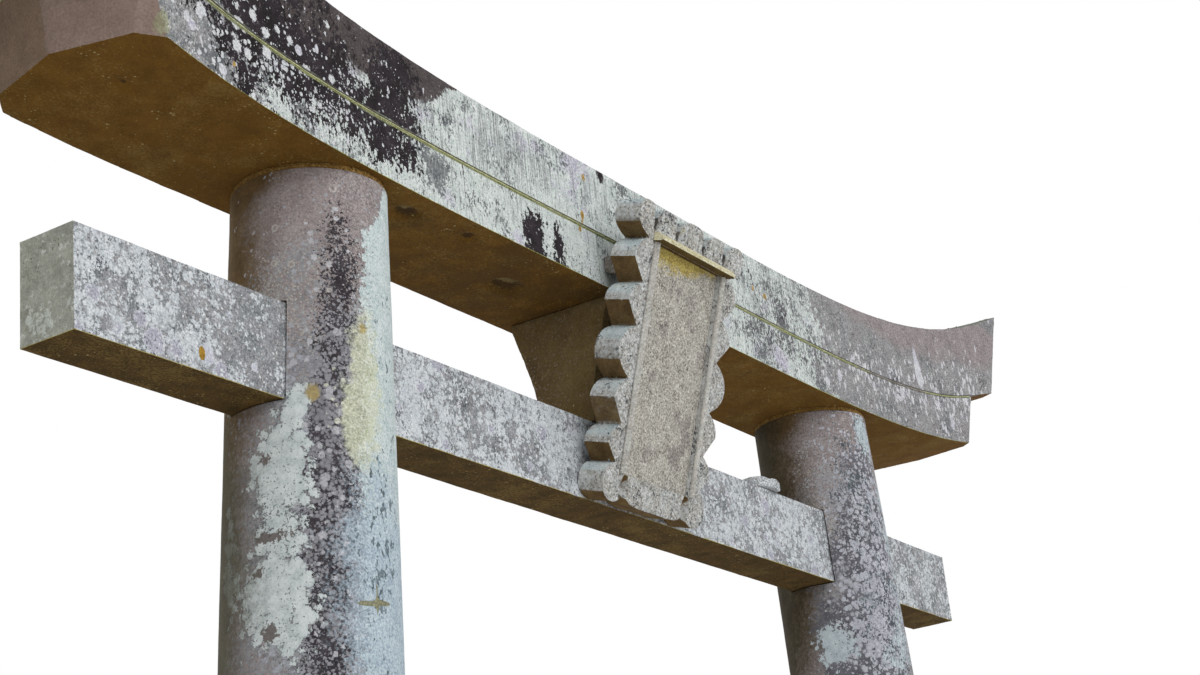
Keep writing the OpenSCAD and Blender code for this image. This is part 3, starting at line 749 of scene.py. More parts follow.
def pillar_finish(side: int, name: str, special: tuple[Growth, ...]) -> StoneFinish:
    """A pillar's finish: bare at its head, a dark speckled band, and pale crusts beyond it.

    Args:
        side: -1 for the left pillar, 1 for the right one.
        name: the material's name.
        special: layers that only this pillar has.

    Returns:
        The finish, whose spots are (way round, height) on the unrolled skin.
    """
    return StoneFinish(
        name,
        "pillar_stone",
        ("#8b8181", "#9b9393"),
        contrast=0.55,
        unroll=side,
        layers=(
            # Brown skin on the sheltered side, with fine tan specks.
            Growth(("#75603f", "#5f4b30"), -1.1, 0.8, 160.0, 0.8, 12.0, edge=0.5, spots=(
                Spot(-0.55, 2.95, 0.4, 0.9, 2.9), Spot(-0.48, 3.28, 0.4, 0.1, 1.6))),
            Growth(("#85868a", "#9c9ea2"), -0.25, 1.2, 120.0, 1.8, 8.0, edge=0.12, seed=1, spots=(
                Spot(-0.16, 2.4, 0.3, 1.0, 0.5), Spot(-0.25, 3.25, 0.5, 0.22, -0.7),
                Spot(-0.5, 2.9, 0.24, 0.8, -0.7))),
            Growth(("#bab6ad", "#a19b93"), -0.92, 1.4, 90.0, 1.0, 5.0, 1.3, 5.5, seed=2, strength=0.8,
                   spots=(
                       Spot(-0.26, 2.93, 0.24, 0.26, 0.8), Spot(-0.3, 3.27, 0.4, 0.1, -0.4),
                       Spot(-0.5, 2.6, 0.2, 0.8, -0.6))),
            *special,
        ),
    )


# Round-dressed granite: warm grey at its head, then a dark speckled band between pale crusts.
LEFT_PILLAR = pillar_finish(
    -1,
    "lichened granite of the left pillar",
    (
        # A mosaic of small grey rounds on a darker ground, below the bare head.
        Growth(("#62646a", "#74757a"), -0.9, 1.2, 90.0, 2.0, 8.0, edge=0.1, seed=12, spots=(
            Spot(-0.15, 2.35, 0.32, 0.6, 1.35), Spot(-0.12, 2.8, 0.22, 0.4, 0.5))),
        Growth(("#a9acb4", "#84868e"), -0.62, 1.0, 80.0, 1.0, 6.0, 1.2, 15.0, edge=0.05, seed=13, spots=(
            Spot(-0.15, 2.4, 0.34, 0.7, 0.75), Spot(-0.5, 2.6, 0.3, 0.9, -1.4))),
        # The dark band, thick with small thalli.
        Growth(("#2f2a2f", "#474348"), -1.35, 1.6, 70.0, 3.2, 7.0, edge=0.07, seed=3, spots=(
            Spot(-0.1, 3.02, 0.14, 0.26, 1.65), Spot(-0.09, 3.1, 0.08, 0.18, 0.35),
            Spot(-0.117, 2.78, 0.1, 0.24, 1.85), Spot(-0.127, 2.52, 0.13, 0.26, 2.25),
            Spot(-0.135, 2.27, 0.12, 0.26, 2.2), Spot(-0.14, 2.04, 0.12, 0.2, 1.6),
            Spot(-0.05, 1.2, 0.4, 1.0, 0.5))),
        Growth(("#96959b", "#6c6b71"), -0.5, 1.6, 50.0, 1.4, 5.0, 1.2, 9.0, edge=0.08, seed=4, spots=(
            Spot(-0.13, 2.65, 0.14, 0.8, 0.7), Spot(-0.3, 3.1, 0.34, 0.4, -1.0))),
        Growth(("#b9b9be", "#918f96"), -0.95, 1.2, 60.0, 1.0, 6.0, 1.6, 23.0, edge=0.05, seed=14, spots=(
            Spot(-0.13, 2.6, 0.13, 0.8, 0.65),)),
        # Pale rounds over the band's right side.
        Growth(("#c6c6ba", "#a5a59b"), -1.7, 0.6, 60.0, 0.8, 6.0, 1.8, 21.0, edge=0.05, seed=16, spots=(
            Spot(-0.095, 2.68, 0.09, 0.16, 1.8),)),
        # The crusts: mint on the rainward side, lobed ones beyond the band.
        Growth(("#c9d5d5", "#bac6c8"), -2.4, 0.9, 110.0, 2.0, 8.0, 0.6, 20.0, edge=0.05, lift_mm=0.8, seed=5,
               spots=(
                   Spot(0.16, 2.4, 0.34, 2.8, 6.2), Spot(-0.14, 3.38, 0.34, 0.28, -6.0),
                   Spot(0.12, 3.2, 0.08, 0.16, 2.0), Spot(0.06, 1.2, 0.5, 1.3, 0.9))),
        Growth(("#d1d9d9", "#b2bcbd"), -1.25, 1.1, 110.0, 1.6, 7.0, 1.2, 26.0, edge=0.05, lift_mm=1.6,
               seed=6, spots=(
                   Spot(-0.243, 2.53, 0.13, 0.2, 2.9), Spot(-0.25, 2.25, 0.15, 0.2, 2.8),
                   Spot(-0.2, 2.7, 0.06, 0.08, 1.9), Spot(-0.39, 2.36, 0.05, 0.24, 2.0),
                   Spot(-0.3, 1.3, 0.4, 0.8, 1.2))),
        # Dark cracks and holes in the lobed crusts.
        Growth(("#7b7f80", "#6a6c6c"), -0.62, 1.2, 50.0, 3.0, 6.0, edge=0.05, seed=15, spots=(
            Spot(-0.25, 2.4, 0.2, 0.5, 0.35), Spot(0.1, 2.6, 0.1, 1.0, -0.3))),
        Growth(("#7a7472", "#6b6664"), -1.6, 1.0, 30.0, 2.4, 9.0, edge=0.08, spots=(
            Spot(-0.278, 2.563, 0.045, 0.036, 2.3), Spot(-0.262, 2.386, 0.13, 0.034, 2.4),
            Spot(-0.262, 2.18, 0.06, 0.06, 2.3), Spot(-0.295, 2.31, 0.05, 0.036, 2.1))),
        # Cream on the crust, bluer lower down.
        Growth(("#cfd2b8", "#c6cab2"), -1.5, 1.4, 60.0, 1.2, 8.0, 0.8, 22.0, edge=0.4, seed=7, strength=0.75,
               spots=(
                   Spot(-0.035, 2.76, 0.1, 0.26, 2.6), Spot(-0.07, 2.6, 0.07, 0.16, 1.8),
                   Spot(0.02, 2.45, 0.07, 0.3, 1.3))),
        Growth(("#a3b5c3", "#b4c3cf"), -0.9, 1.4, 120.0, 1.4, 8.0, edge=0.3, strength=0.8, seed=8, spots=(
            Spot(0.03, 2.25, 0.26, 0.5, 2.0), Spot(0.0, 1.3, 0.5, 0.8, 1.0))),
        Growth(("#5a666e", "#7d8b92"), -0.85, 1.6, 50.0, 2.6, 13.0, tall=1.6, edge=0.07, seed=9, spots=(
            Spot(0.05, 2.7, 0.1, 0.9, 0.5), Spot(-0.02, 2.3, 0.12, 0.4, 0.65),
            Spot(-0.3, 2.9, 0.24, 1.0, -0.6))),
        # Rounds with pale rims, two ochre ones, and the old scratched cross.
        Growth(("#8f8886", "#b9b4af"), -1.6, 0.2, 60.0, 0.5, 8.0, edge=0.1, rim=0.6, spots=(
            Spot(-0.259, 3.112, 0.024, 0.026, 2.5), Spot(-0.261, 3.025, 0.022, 0.024, 2.4),
            Spot(-0.217, 3.016, 0.026, 0.024, 2.4), Spot(-0.115, 3.209, 0.028, 0.03, 2.4),
            Spot(-0.127, 2.953, 0.02, 0.02, 2.2))),
        Growth(("#bfae74", "#9f8e5e"), -1.6, 0.2, 60.0, 1.4, 7.0, edge=0.3, strength=0.9, spots=(
            Spot(-0.167, 2.706, 0.04, 0.05, 2.6), Spot(-0.041, 2.874, 0.036, 0.038, 2.3))),
        Growth(("#8b8763", "#7f7d60"), -1.6, 0.0, 60.0, 0.6, 12.0, edge=0.15, strength=0.9, spots=(
            Spot(-0.055, 2.241, 0.045, 0.01, 2.6), Spot(-0.023, 2.248, 0.05, 0.01, 2.4),
            Spot(0.01, 2.255, 0.045, 0.01, 2.6), Spot(-0.018, 2.256, 0.009, 0.1, 2.4))),
        Growth(("#4c4836", "#59563f"), -1.2, 1.0, 130.0, 1.0, 12.0, edge=0.6, strength=0.85, spots=(
            Spot(-0.54, 2.3, 0.36, 0.9, 2.9), Spot(0.0, 0.0, 0.9, 0.8, 2.2))),
    ),
)

# Round-dressed granite: a dark violet ground under pale rounds, olive-brown on its left.
RIGHT_PILLAR = pillar_finish(
    1,
    "lichened granite of the right pillar",
    (
        # Olive-brown shade on the left, and the dark violet ground of the mosaic.
        Growth(("#474134", "#3b3527"), -1.2, 0.8, 160.0, 1.0, 12.0, edge=0.6, spots=(
            Spot(-0.56, 2.95, 0.46, 1.4, 2.7),)),
        Growth(("#59585f", "#706f77"), -1.0, 1.3, 90.0, 2.2, 10.0, edge=0.15, seed=3, spots=(
            Spot(-0.08, 2.95, 0.22, 0.4, 1.7), Spot(-0.16, 2.5, 0.3, 0.5, 1.9),
            Spot(-0.1, 2.86, 0.06, 0.14, 0.9))),
        Growth(("#4a464f", "#5c5962"), -1.5, 1.3, 60.0, 2.2, 12.0, edge=0.1, seed=17, spots=(
            Spot(-0.11, 2.88, 0.1, 0.2, 1.7), Spot(-0.28, 2.66, 0.14, 0.1, 1.3),
            Spot(-0.1, 2.4, 0.2, 0.2, 0.9))),
        # Rounds of three sizes.
        Growth(("#b9bdc6", "#9195a0"), -1.05, 1.0, 80.0, 0.8, 6.0, 1.9, 27.0, edge=0.06, lift_mm=0.8, seed=4,
               spots=(
                   Spot(-0.03, 2.9, 0.22, 0.5, 1.1), Spot(-0.1, 2.5, 0.34, 0.4, 0.9),
                   Spot(0.0, 1.3, 0.5, 0.9, 0.6), Spot(-0.56, 2.8, 0.34, 1.4, -1.6))),
        Growth(("#c0c1cb", "#989aa4"), -1.0, 1.2, 70.0, 0.8, 6.0, 1.8, 15.0, edge=0.06, seed=5, spots=(
            Spot(-0.06, 2.9, 0.22, 0.55, 1.1), Spot(-0.12, 2.5, 0.32, 0.4, 1.0),
            Spot(-0.56, 2.8, 0.34, 1.4, -1.6))),
        Growth(("#abacb2", "#8b8c92"), -0.75, 1.2, 90.0, 1.0, 5.0, 1.3, 7.0, edge=0.1, seed=10,
               strength=0.85, spots=(
                   Spot(-0.18, 3.0, 0.24, 0.4, 0.8), Spot(-0.2, 2.5, 0.24, 0.4, 0.4),
                   Spot(-0.5, 2.9, 0.24, 1.0, -1.0))),
        # White and mint crusts.
        Growth(("#bfcad0", "#a7b4bb"), -1.2, 1.4, 70.0, 2.0, 9.0, 0.8, 24.0, edge=0.05, seed=6, spots=(
            Spot(-0.01, 3.2, 0.08, 0.12, 2.3), Spot(0.1, 2.85, 0.16, 0.6, 1.9),
            Spot(-0.26, 2.52, 0.12, 0.12, 2.3), Spot(-0.05, 2.48, 0.14, 0.22, 1.5),
            Spot(0.0, 1.2, 0.5, 1.2, 1.5))),
        Growth(("#454b50", "#646d73"), -0.46, 1.4, 60.0, 3.0, 7.0, tall=1.5, edge=0.06, seed=9, spots=(
            Spot(-0.04, 2.7, 0.24, 0.9, 0.35), Spot(-0.4, 3.1, 0.26, 0.8, -0.8))),
        Growth(("#5f5c40", "#6e6c50"), -1.2, 1.0, 130.0, 1.0, 12.0, edge=0.6, strength=0.7, spots=(
            Spot(0.0, 0.0, 0.9, 0.8, 2.2),)),
    ),
)

# Rough granite near the ground: dull and greenish from the damp.
FOOT = StoneFinish(
    "granite of the base stones",
    "base_stone",
    ("#7d7774", "#97918c"),
    layers=(
        Growth(("#a5a8a3", "#8f928b"), 0.02, 1.0, 70.0, 1.6, 9.0),
        Growth(("#c1c6c2", "#a3a9a6"), -0.5, 1.2, 120.0, 1.0, 8.0, 0.9, 30.0, lift_mm=0.8, seed=1),
        Growth(("#5c5a58", "#6f6c69"), -0.45, 1.2, 60.0, 2.2, 7.0, seed=2),
        Growth(("#6c774c", "#7f8459"), -0.1, 1.4, 120.0, 1.0, 8.0, edge=0.3, strength=0.6, seed=3),
    ),
)

# Coarse granite worked with a point: pale, with single dark and light crystals and open pits.
SLAB = StoneFinish(
    "coarse granite of the plaque",
    "plaque_stone",
    ("#9a9893", "#b9b7b2"),
    grain=("#55504e", "#dad9d5"),
    crystal_mm=5.0,
    grain_strength=0.8,
    pit_mm=2.4,
    contrast=0.75,
    layers=(
        Growth(("#c9cbca", "#adb0b0"), 0.0, 1.4, 50.0, 1.6, 7.0, 0.6, 14.0, seed=1, lift_mm=0.8),
        # Painted light: paler and bluer on the lobes' upper faces.
        Growth(("#b3c1c5", "#ccd5d5"), 0.3, 1.2, 60.0, 1.4, 7.0, edge=0.08, seed=2, side=Side.TOP),
        Growth(("#4c4d51", "#6d7072"), -0.42, 1.8, 45.0, 2.6, 9.0, seed=3, spots=(
            Spot(-0.2, 3.5, 0.3, 0.12, 0.35),)),
        # Painted shade in the grooves between the crown's lobes.
        Growth(("#3c3a38", "#55534f"), -1.2, 0.6, 40.0, 0.8, 8.0, edge=0.2, seed=7, spots=(
            Spot(-0.289, 3.43, 0.024, 0.09, 2.5), Spot(-0.178, 3.43, 0.024, 0.09, 2.5),
            Spot(-0.038, 3.43, 0.024, 0.09, 2.5), Spot(0.073, 3.43, 0.024, 0.09, 2.5))),
        # Painted shade, warm brown, on the undersides of the lobes.
        Growth(("#7d6743", "#5f4a2e"), 1.0, 0.8, 60.0, 0.8, 8.0, edge=0.3, seed=4, side=Side.UNDER),
        Growth(("#a09a52", "#8c8a48"), -0.75, 1.2, 50.0, 1.2, 8.0, edge=0.15, strength=0.8, seed=5, spots=(
            Spot(-0.2, 3.42, 0.3, 0.05, 0.5),)),
    ),
)

# The same coarse granite under powdery yellow-green growth.
EAVE = StoneFinish(
    "mossy granite of the plaque's eave",
    "plaque_stone",
    ("#c9c39c", "#dcd7bb"),
    grain=("#8b8360", "#ece9d6"),
    crystal_mm=5.0,
    pit_mm=2.0,
    contrast=0.7,
    layers=(
        Growth(("#8f8a4c", "#aaa260"), -0.35, 1.4, 50.0, 2.0, 8.0, edge=0.2, strength=0.7, seed=1),
        Growth(("#5f5a44", "#777052"), -0.7, 1.4, 40.0, 2.4, 7.0, seed=2),
        # Painted shade: brown on the eave's underside, a dark line beneath it.
        Growth(("#6d5a33", "#5a4826"), 0.6, 0.8, 60.0, 0.8, 8.0, edge=0.3, seed=4, side=Side.UNDER),
    ),
)

# Rubbed granite: paler, finer and more even than the slab.
MOULDING = StoneFinish(
    "worn granite of the plaque's mouldings",
    "plaque_stone",
    ("#aca9a3", "#c6c4be"),
    grain=("#6b6663", "#dedcd8"),
    pit_mm=1.2,
    contrast=0.6,
    layers=(
        Growth(("#c9cac6", "#b3b5b1"), -0.1, 1.2, 60.0, 1.4, 7.0, seed=1),
        Growth(("#6d6a68", "#858280"), -0.7, 1.4, 50.0, 2.2, 8.0, tall=2.0, edge=0.1, seed=3),
    ),
)

# Coarse granite left bare: its grain stands out, with ochre growth near the top.
PANEL = StoneFinish(
    "coarse bare granite of the panel",
    "panel_stone",
    ("#9d988e", "#bbb8b0"),
    grain=("#5f5953", "#dbd9d2"),
    crystal_mm=5.0,
    grain_strength=0.8,
    pit_mm=2.5,
    contrast=0.75,
    layers=(
        Growth(("#c6c4bc", "#a9a69e"), 0.0, 1.0, 60.0, 2.0, 5.0, tall=1.6, seed=1, strength=0.8),
        Growth(("#8a8280", "#787170"), -0.3, 2.4, 80.0, 1.4, 8.0, tall=4.0, edge=0.2, strength=0.7, seed=2),
        Growth(("#5c5650", "#716a63"), -0.5, 1.2, 50.0, 3.0, 6.0, seed=3),
        Growth(("#d3c069", "#b5a04c"), -1.0, 1.0, 50.0, 1.6, 8.0, edge=0.35, strength=0.9, seed=4, spots=(
            Spot(-0.19, 3.4, 0.2, 0.15, 2.4), Spot(-0.02, 3.4, 0.2, 0.1, 2.0))),
    ),
)

# Granite that no rain reaches: a dull brown skin with a few pale crusts.
STRUT = StoneFinish(
    "sheltered granite of the strut",
    "sheltered_stone",
    ("#5c4a30", "#73603f"),
    grain_strength=0.25,
    contrast=0.7,
    layers=(
        Growth(("#85724e", "#695631"), 0.0, 1.2, 120.0, 0.8, 8.0, tall=2.0, edge=0.3, seed=1),
        Growth(("#a3967a", "#978b6e"), -0.8, 1.0, 90.0, 0.8, 5.0, 1.2, 12.0, seed=2),
    ),
)

# Trowelled lime mortar: warm brown, sandy and without gloss.
MORTAR = StoneFinish(
    "lime mortar",
    "mortar",
    ("#94753f", "#7a5a2b"),
    grain=("#4c3c22", "#c4aa74"),
    tone_mm=20.0,
    pit_mm=2.0,
)

# Older lime mortar, pressed in by hand: grey and lumpy, with pale crusts.
PACKING = StoneFinish(
    "grey lime mortar of the packings",
    "mortar",
    ("#6d665e", "#89827a"),
    tone_mm=20.0,
    pit_mm=2.5,
    layers=(
        Growth(("#cfcdc5", "#b9b6ae"), -0.45, 1.0, 30.0, 1.6, 5.0, 0.6, 10.0),
    ),
)

# Lime mortar grown over with lichen: a pale yellow-green line, greyer on the right.
SEAM_MORTAR = StoneFinish(
    "lichened lime mortar of the joint",
    "lichened_mortar",
    ("#b9bd84", "#c6ca9c"),
    grain=("#9a9b66", "#d4d6b4"),
    tone_mm=20.0,
    pit_mm=0.6,
    contrast=0.7,
    layers=(
        Growth(("#c9cfbb", "#b3b9a2"), -0.25, 1.4, 70.0, 1.4, 8.0, edge=0.15),
        Growth(("#a09b92", "#b0aca4"), -0.95, 1.4, 90.0, 1.4, 8.0, edge=0.1, seed=1, spots=(
            Spot(1.5, 3.42, 0.8, 0.3, 1.3),)),
    ),
)

# Water-worn stone: pale, smooth and even.
PEBBLE = StoneFinish(
    "water-worn stone",
    "field_stone",
    ("#a8adb3", "#c3c9cd"),
    grain=("#6c6c70", "#dcdedd"),
    tone_mm=30.0,
    pit_mm=0.6,
    layers=(
        Growth(("#8a8784", "#9c9890"), -0.1, 1.0, 40.0, 1.2, 8.0, edge=0.1),
    ),
)


@dataclass(frozen=True)
class Wear:
    """How far a stone has weathered: rounding of its arrises (0 to 1), hollows and pits.

    A crisp stone starts from sharp arrises; the others start already rounded.
    """

    rounding: float
    reach: int
    hollow_mm: float
    hollow_size_mm: float
    pit_mm: float
    pit_size_mm: float
    crisp: bool = True


class ShapeTree(ABC):
    """A Geometry Nodes tree with named inputs, built once and put on many pieces."""

    NAME: str
    SOCKETS: dict[str, str]
    SEED: float

    def __init__(self) -> None:
        tree = bpy.data.node_groups.new(self.NAME, "GeometryNodeTree")
        face = tree.interface
        face.new_socket("Geometry", in_out="INPUT", socket_type="NodeSocketGeometry")
        self.ids = {
            name: face.new_socket(name, in_out="INPUT", socket_type="NodeSocket" + kind).identifier
            for name, kind in (self.SOCKETS | {"Finish": "Material"}).items()
        }
        face.new_socket("Geometry", in_out="OUTPUT", socket_type="NodeSocketGeometry")
        self.group = tree
        given = add(tree, "NodeGroupInput").outputs
        real = add(tree, "GeometryNodeRealizeInstances", {"Geometry": self.shape(tree, given)})
        dressed = add(tree, "GeometryNodeSetMaterial", {"Geometry": real, "Material": given["Finish"]})
        add(tree, "NodeGroupOutput", {"Geometry": dressed})

    @abstractmethod
    def shape(self, tree: bpy.types.NodeTree, given: bpy.types.NodeOutputs) -> bpy.types.Node:
        """Adds the nodes that make the shape.

        Args:
            tree: the node tree.
            given: the sockets of its inputs.

        Returns:
            The node that gives the shape.
        """

    def lumps(self, size: Value, detail: float) -> bpy.types.Node:
        """Noise over the piece.

        Args:
            size: size of its lumps in metres.
            detail: number of finer steps.

        Returns:
            The noise node.
        """
        place = add(self.group, "GeometryNodeInputPosition")
        scale = add(self.group, "ShaderNodeMath", {0: 1.0, 1: size}, operation="DIVIDE")
        values = {"Vector": place, "W": self.SEED, "Scale": scale, "Detail": detail}
        return add(self.group, "ShaderNodeTexNoise", values, noise_dimensions="4D")

    def outward(self, distance: Value) -> bpy.types.Node:
        """A shift by a distance along the surface's normal."""
        normal = add(self.group, "GeometryNodeInputNormal")
        return add(self.group, "ShaderNodeVectorMath", {0: normal, "Scale": distance}, operation="SCALE")

    def put_on(self, piece: bpy.types.Object, values: dict[str, float | bpy.types.Material]) -> None:
        """Puts the tree on a piece.

        Args:
            piece: the object, still with its modifiers live.
            values: the piece's own value for each input, by the input's name.
        """
        modifier = piece.modifiers.new(self.NAME, "NODES")
        modifier.node_group = self.group
        for name, value in values.items():
            modifier[self.ids[name]] = value


class WeatherTree(ShapeTree):
    """Wears a stone: rounds its arrises unevenly and pits its faces inwards."""

    NAME = "weathering"
    SOCKETS = {
        "Rounding": "Float",
        "Reach": "Int",
        "Hollow Depth": "Float",
        "Hollow Size": "Float",
        "Pit Depth": "Float",
        "Pit Size": "Float",
    }
    SEED = 7.3
    # The noise's values between which the rounding goes from its least share to all of it.
    UNEVEN = (0.38, 0.6)
    LEAST = 0.25
    # Edges that still turn by more than this, in radians, are shaded as sharp arrises.
    CRISP = 0.5

    def shape(self, tree: bpy.types.NodeTree, given: bpy.types.NodeOutputs) -> bpy.types.Node:
        """Adds the nodes that round, hollow and pit the stone.

        Args:
            tree: the node tree.
            given: the sockets of its inputs.

        Returns:
            The worn stone, with its arrises shaded sharp.
        """
        place = add(tree, "GeometryNodeInputPosition")
        blur = {"Value": place, "Iterations": given["Reach"]}
        blurred = add(tree, "GeometryNodeBlurAttribute", blur, data_type="FLOAT_VECTOR")
        low, high = self.UNEVEN
        uneven = {"Value": self.lumps(given["Hollow Size"], 3.0), "From Min": low, "From Max": high}
        uneven = add(tree, "ShaderNodeMapRange", uneven | {"To Min": self.LEAST})
        share = add(tree, "ShaderNodeMath", {0: uneven, 1: given["Rounding"]}, operation="MULTIPLY")
        rounded = add(tree, "ShaderNodeMix", {"Factor": share, "A": place, "B": blurred}, data_type="VECTOR")
        depth = 0.0
        for part, detail in (("Hollow", 2.0), ("Pit", 3.0)):
            dent = {0: self.lumps(given[part + " Size"], detail), 1: given[part + " Depth"], 2: depth}
            depth = add(tree, "ShaderNodeMath", dent, operation="MULTIPLY_ADD")
        inward = self.outward(add(tree, "ShaderNodeMath", {0: depth, 1: -1.0}, operation="MULTIPLY"))
        moved = add(tree, "ShaderNodeVectorMath", {0: rounded, 1: inward}, operation="ADD")
        worn = add(tree, "GeometryNodeSetPosition", {"Geometry": given["Geometry"], "Position": moved})
        smooth = add(tree, "GeometryNodeSetShadeSmooth", {"Geometry": worn})
        turn = add(tree, "GeometryNodeInputMeshEdgeAngle")
        crisp = add(tree, "ShaderNodeMath", {0: turn, 1: self.CRISP}, operation="GREATER_THAN")
        edges = {"Geometry": smooth, "Selection": crisp, "Shade Smooth": False}
        return add(tree, "GeometryNodeSetShadeSmooth", edges, domain="EDGE")

    def wear(self, piece: bpy.types.Object, wear: Wear, finish: bpy.types.Material) -> None:
        """Puts the tree on a stone.

        Args:
            piece: the stone, still with its modifiers live.
            wear: how far it has weathered.
            finish: its material.
        """
        values = {
            "Rounding": wear.rounding,
            "Reach": wear.reach,
            "Hollow Depth": wear.hollow_mm * MM,
            "Hollow Size": wear.hollow_size_mm * MM,
            "Pit Depth": wear.pit_mm * MM,
            "Pit Size": wear.pit_size_mm * MM,
            "Finish": finish,
        }
        self.put_on(piece, values)


class BeadTree(ShapeTree):
    """Squeezes a ragged bead of mortar along a path."""

    NAME = "mortar bead"
    SOCKETS = {"Thickness": "Float", "Raggedness": "Float", "Step": "Float"}
    SEED = 2.9
    # The bead's section, its step along the path, and its raggedness as a share of its thickness.
    CORNERS = 8
    STEP = 0.009
    RAGGED = 0.3
    # Lump size, the noise's values that count, and how far those shrink and swell the bead.
    LUMP = 1 / 70
    SPREAD = (0.3, 0.7)
    SWELL = (-1.0, 0.6)

    def shape(self, tree: bpy.types.NodeTree, given: bpy.types.NodeOutputs) -> bpy.types.Node:
        """Adds the nodes that sweep a ring along the path and roughen it.

        Args:
            tree: the node tree.
            given: the sockets of its inputs.

        Returns:
            The bead.
        """
        even = {"Curve": given["Geometry"], "Length": given["Step"]}
        path = add(tree, "GeometryNodeResampleCurve", even, mode="LENGTH")
        radius = add(tree, "ShaderNodeMath", {0: given["Thickness"], 1: 0.5}, operation="MULTIPLY")
        ring = add(tree, "GeometryNodeCurvePrimitiveCircle", {"Resolution": self.CORNERS, "Radius": radius})
        bead = {"Curve": path, "Profile Curve": ring, "Fill Caps": True}
        bead = add(tree, "GeometryNodeCurveToMesh", bead)
        ends = zip(("From Min", "From Max", "To Min", "To Max"), (*self.SPREAD, *self.SWELL))
        swell = add(tree, "ShaderNodeMapRange", {"Value": self.lumps(self.LUMP, 3.0), **dict(ends)})
        swell = add(tree, "ShaderNodeMath", {0: swell, 1: given["Raggedness"]}, operation="MULTIPLY")
        bead = add(tree, "GeometryNodeSetPosition", {"Geometry": bead, "Offset": self.outward(swell)})
        return add(tree, "GeometryNodeSetShadeSmooth", {"Geometry": bead})

    def squeeze(
        self, name: str, points: list[Vector], closed: bool, thickness: float, finish: bpy.types.Material
    ) -> bpy.types.Object:
        """Makes one bead.

        Args:
            name: the piece's name.
            points: the path, in metres.
            closed: whether the path joins its start.
            thickness: the bead's thickness in metres.
            finish: its material.

        Returns:
            The bead as a plain mesh object.
        """
        curve = bpy.data.curves.new(name, "CURVE")
        curve.dimensions = "3D"
        spline = curve.splines.new("POLY")
        spline.points.add(len(points) - 1)
        for target, point in zip(spline.points, points):
            target.co = (*point, 1.0)
        spline.use_cyclic_u = closed
        path = show(name + "_path", curve)
        values = {"Thickness": thickness, "Raggedness": self.RAGGED * thickness, "Step": self.STEP}
        self.put_on(path, values | {"Finish": finish})
        return as_plain_mesh(name, path)


def show(name: str, data: bpy.types.ID) -> bpy.types.Object:
    """Makes an object and links it to the scene.

    Args:
        name: the object's name.
        data: its mesh, curve, lamp or camera.

    Returns:
        The object.
    """
    piece = bpy.data.objects.new(name, data)
    bpy.context.collection.objects.link(piece)
    return piece


def as_plain_mesh(name: str, source: bpy.types.Object) -> bpy.types.Object:
    """Evaluates an object into a plain mesh and removes the object.

    Args:
        name: the new piece's name.
        source: the object with its modifiers.

    Returns:
        A mesh object at the origin, without modifiers.
    """
    graph = bpy.context.evaluated_depsgraph_get()
    graph.update()
    mesh = bpy.data.meshes.new_from_object(source.evaluated_get(graph), depsgraph=graph)
    mesh.name = name
    bpy.data.objects.remove(source, do_unlink=True)
    return show(name, mesh)


@dataclass(frozen=True)
class Chip:
    """A shallow dished flake lost from a face: its middle, half lengths and depth in metres."""

    middle: tuple[float, float, float]
    half: tuple[float, float, float]
    depth: tuple[float, float, float]

    # The power by which the dish deepens from its rim.
    DISH = 0.7

    def cut(self, mesh: bpy.types.Mesh) -> None:
        """Moves the vertices within the flake by its depth, most in the middle.

        Args:
            mesh: the stone's mesh.
        """
        for vertex in mesh.vertices:
            off = [(vertex.co[i] - self.middle[i]) / self.half[i] for i in range(3)]
            far = sum(o * o for o in off)
            if far < 1:
                vertex.co += Vector(self.depth) * (1 - far) ** self.DISH


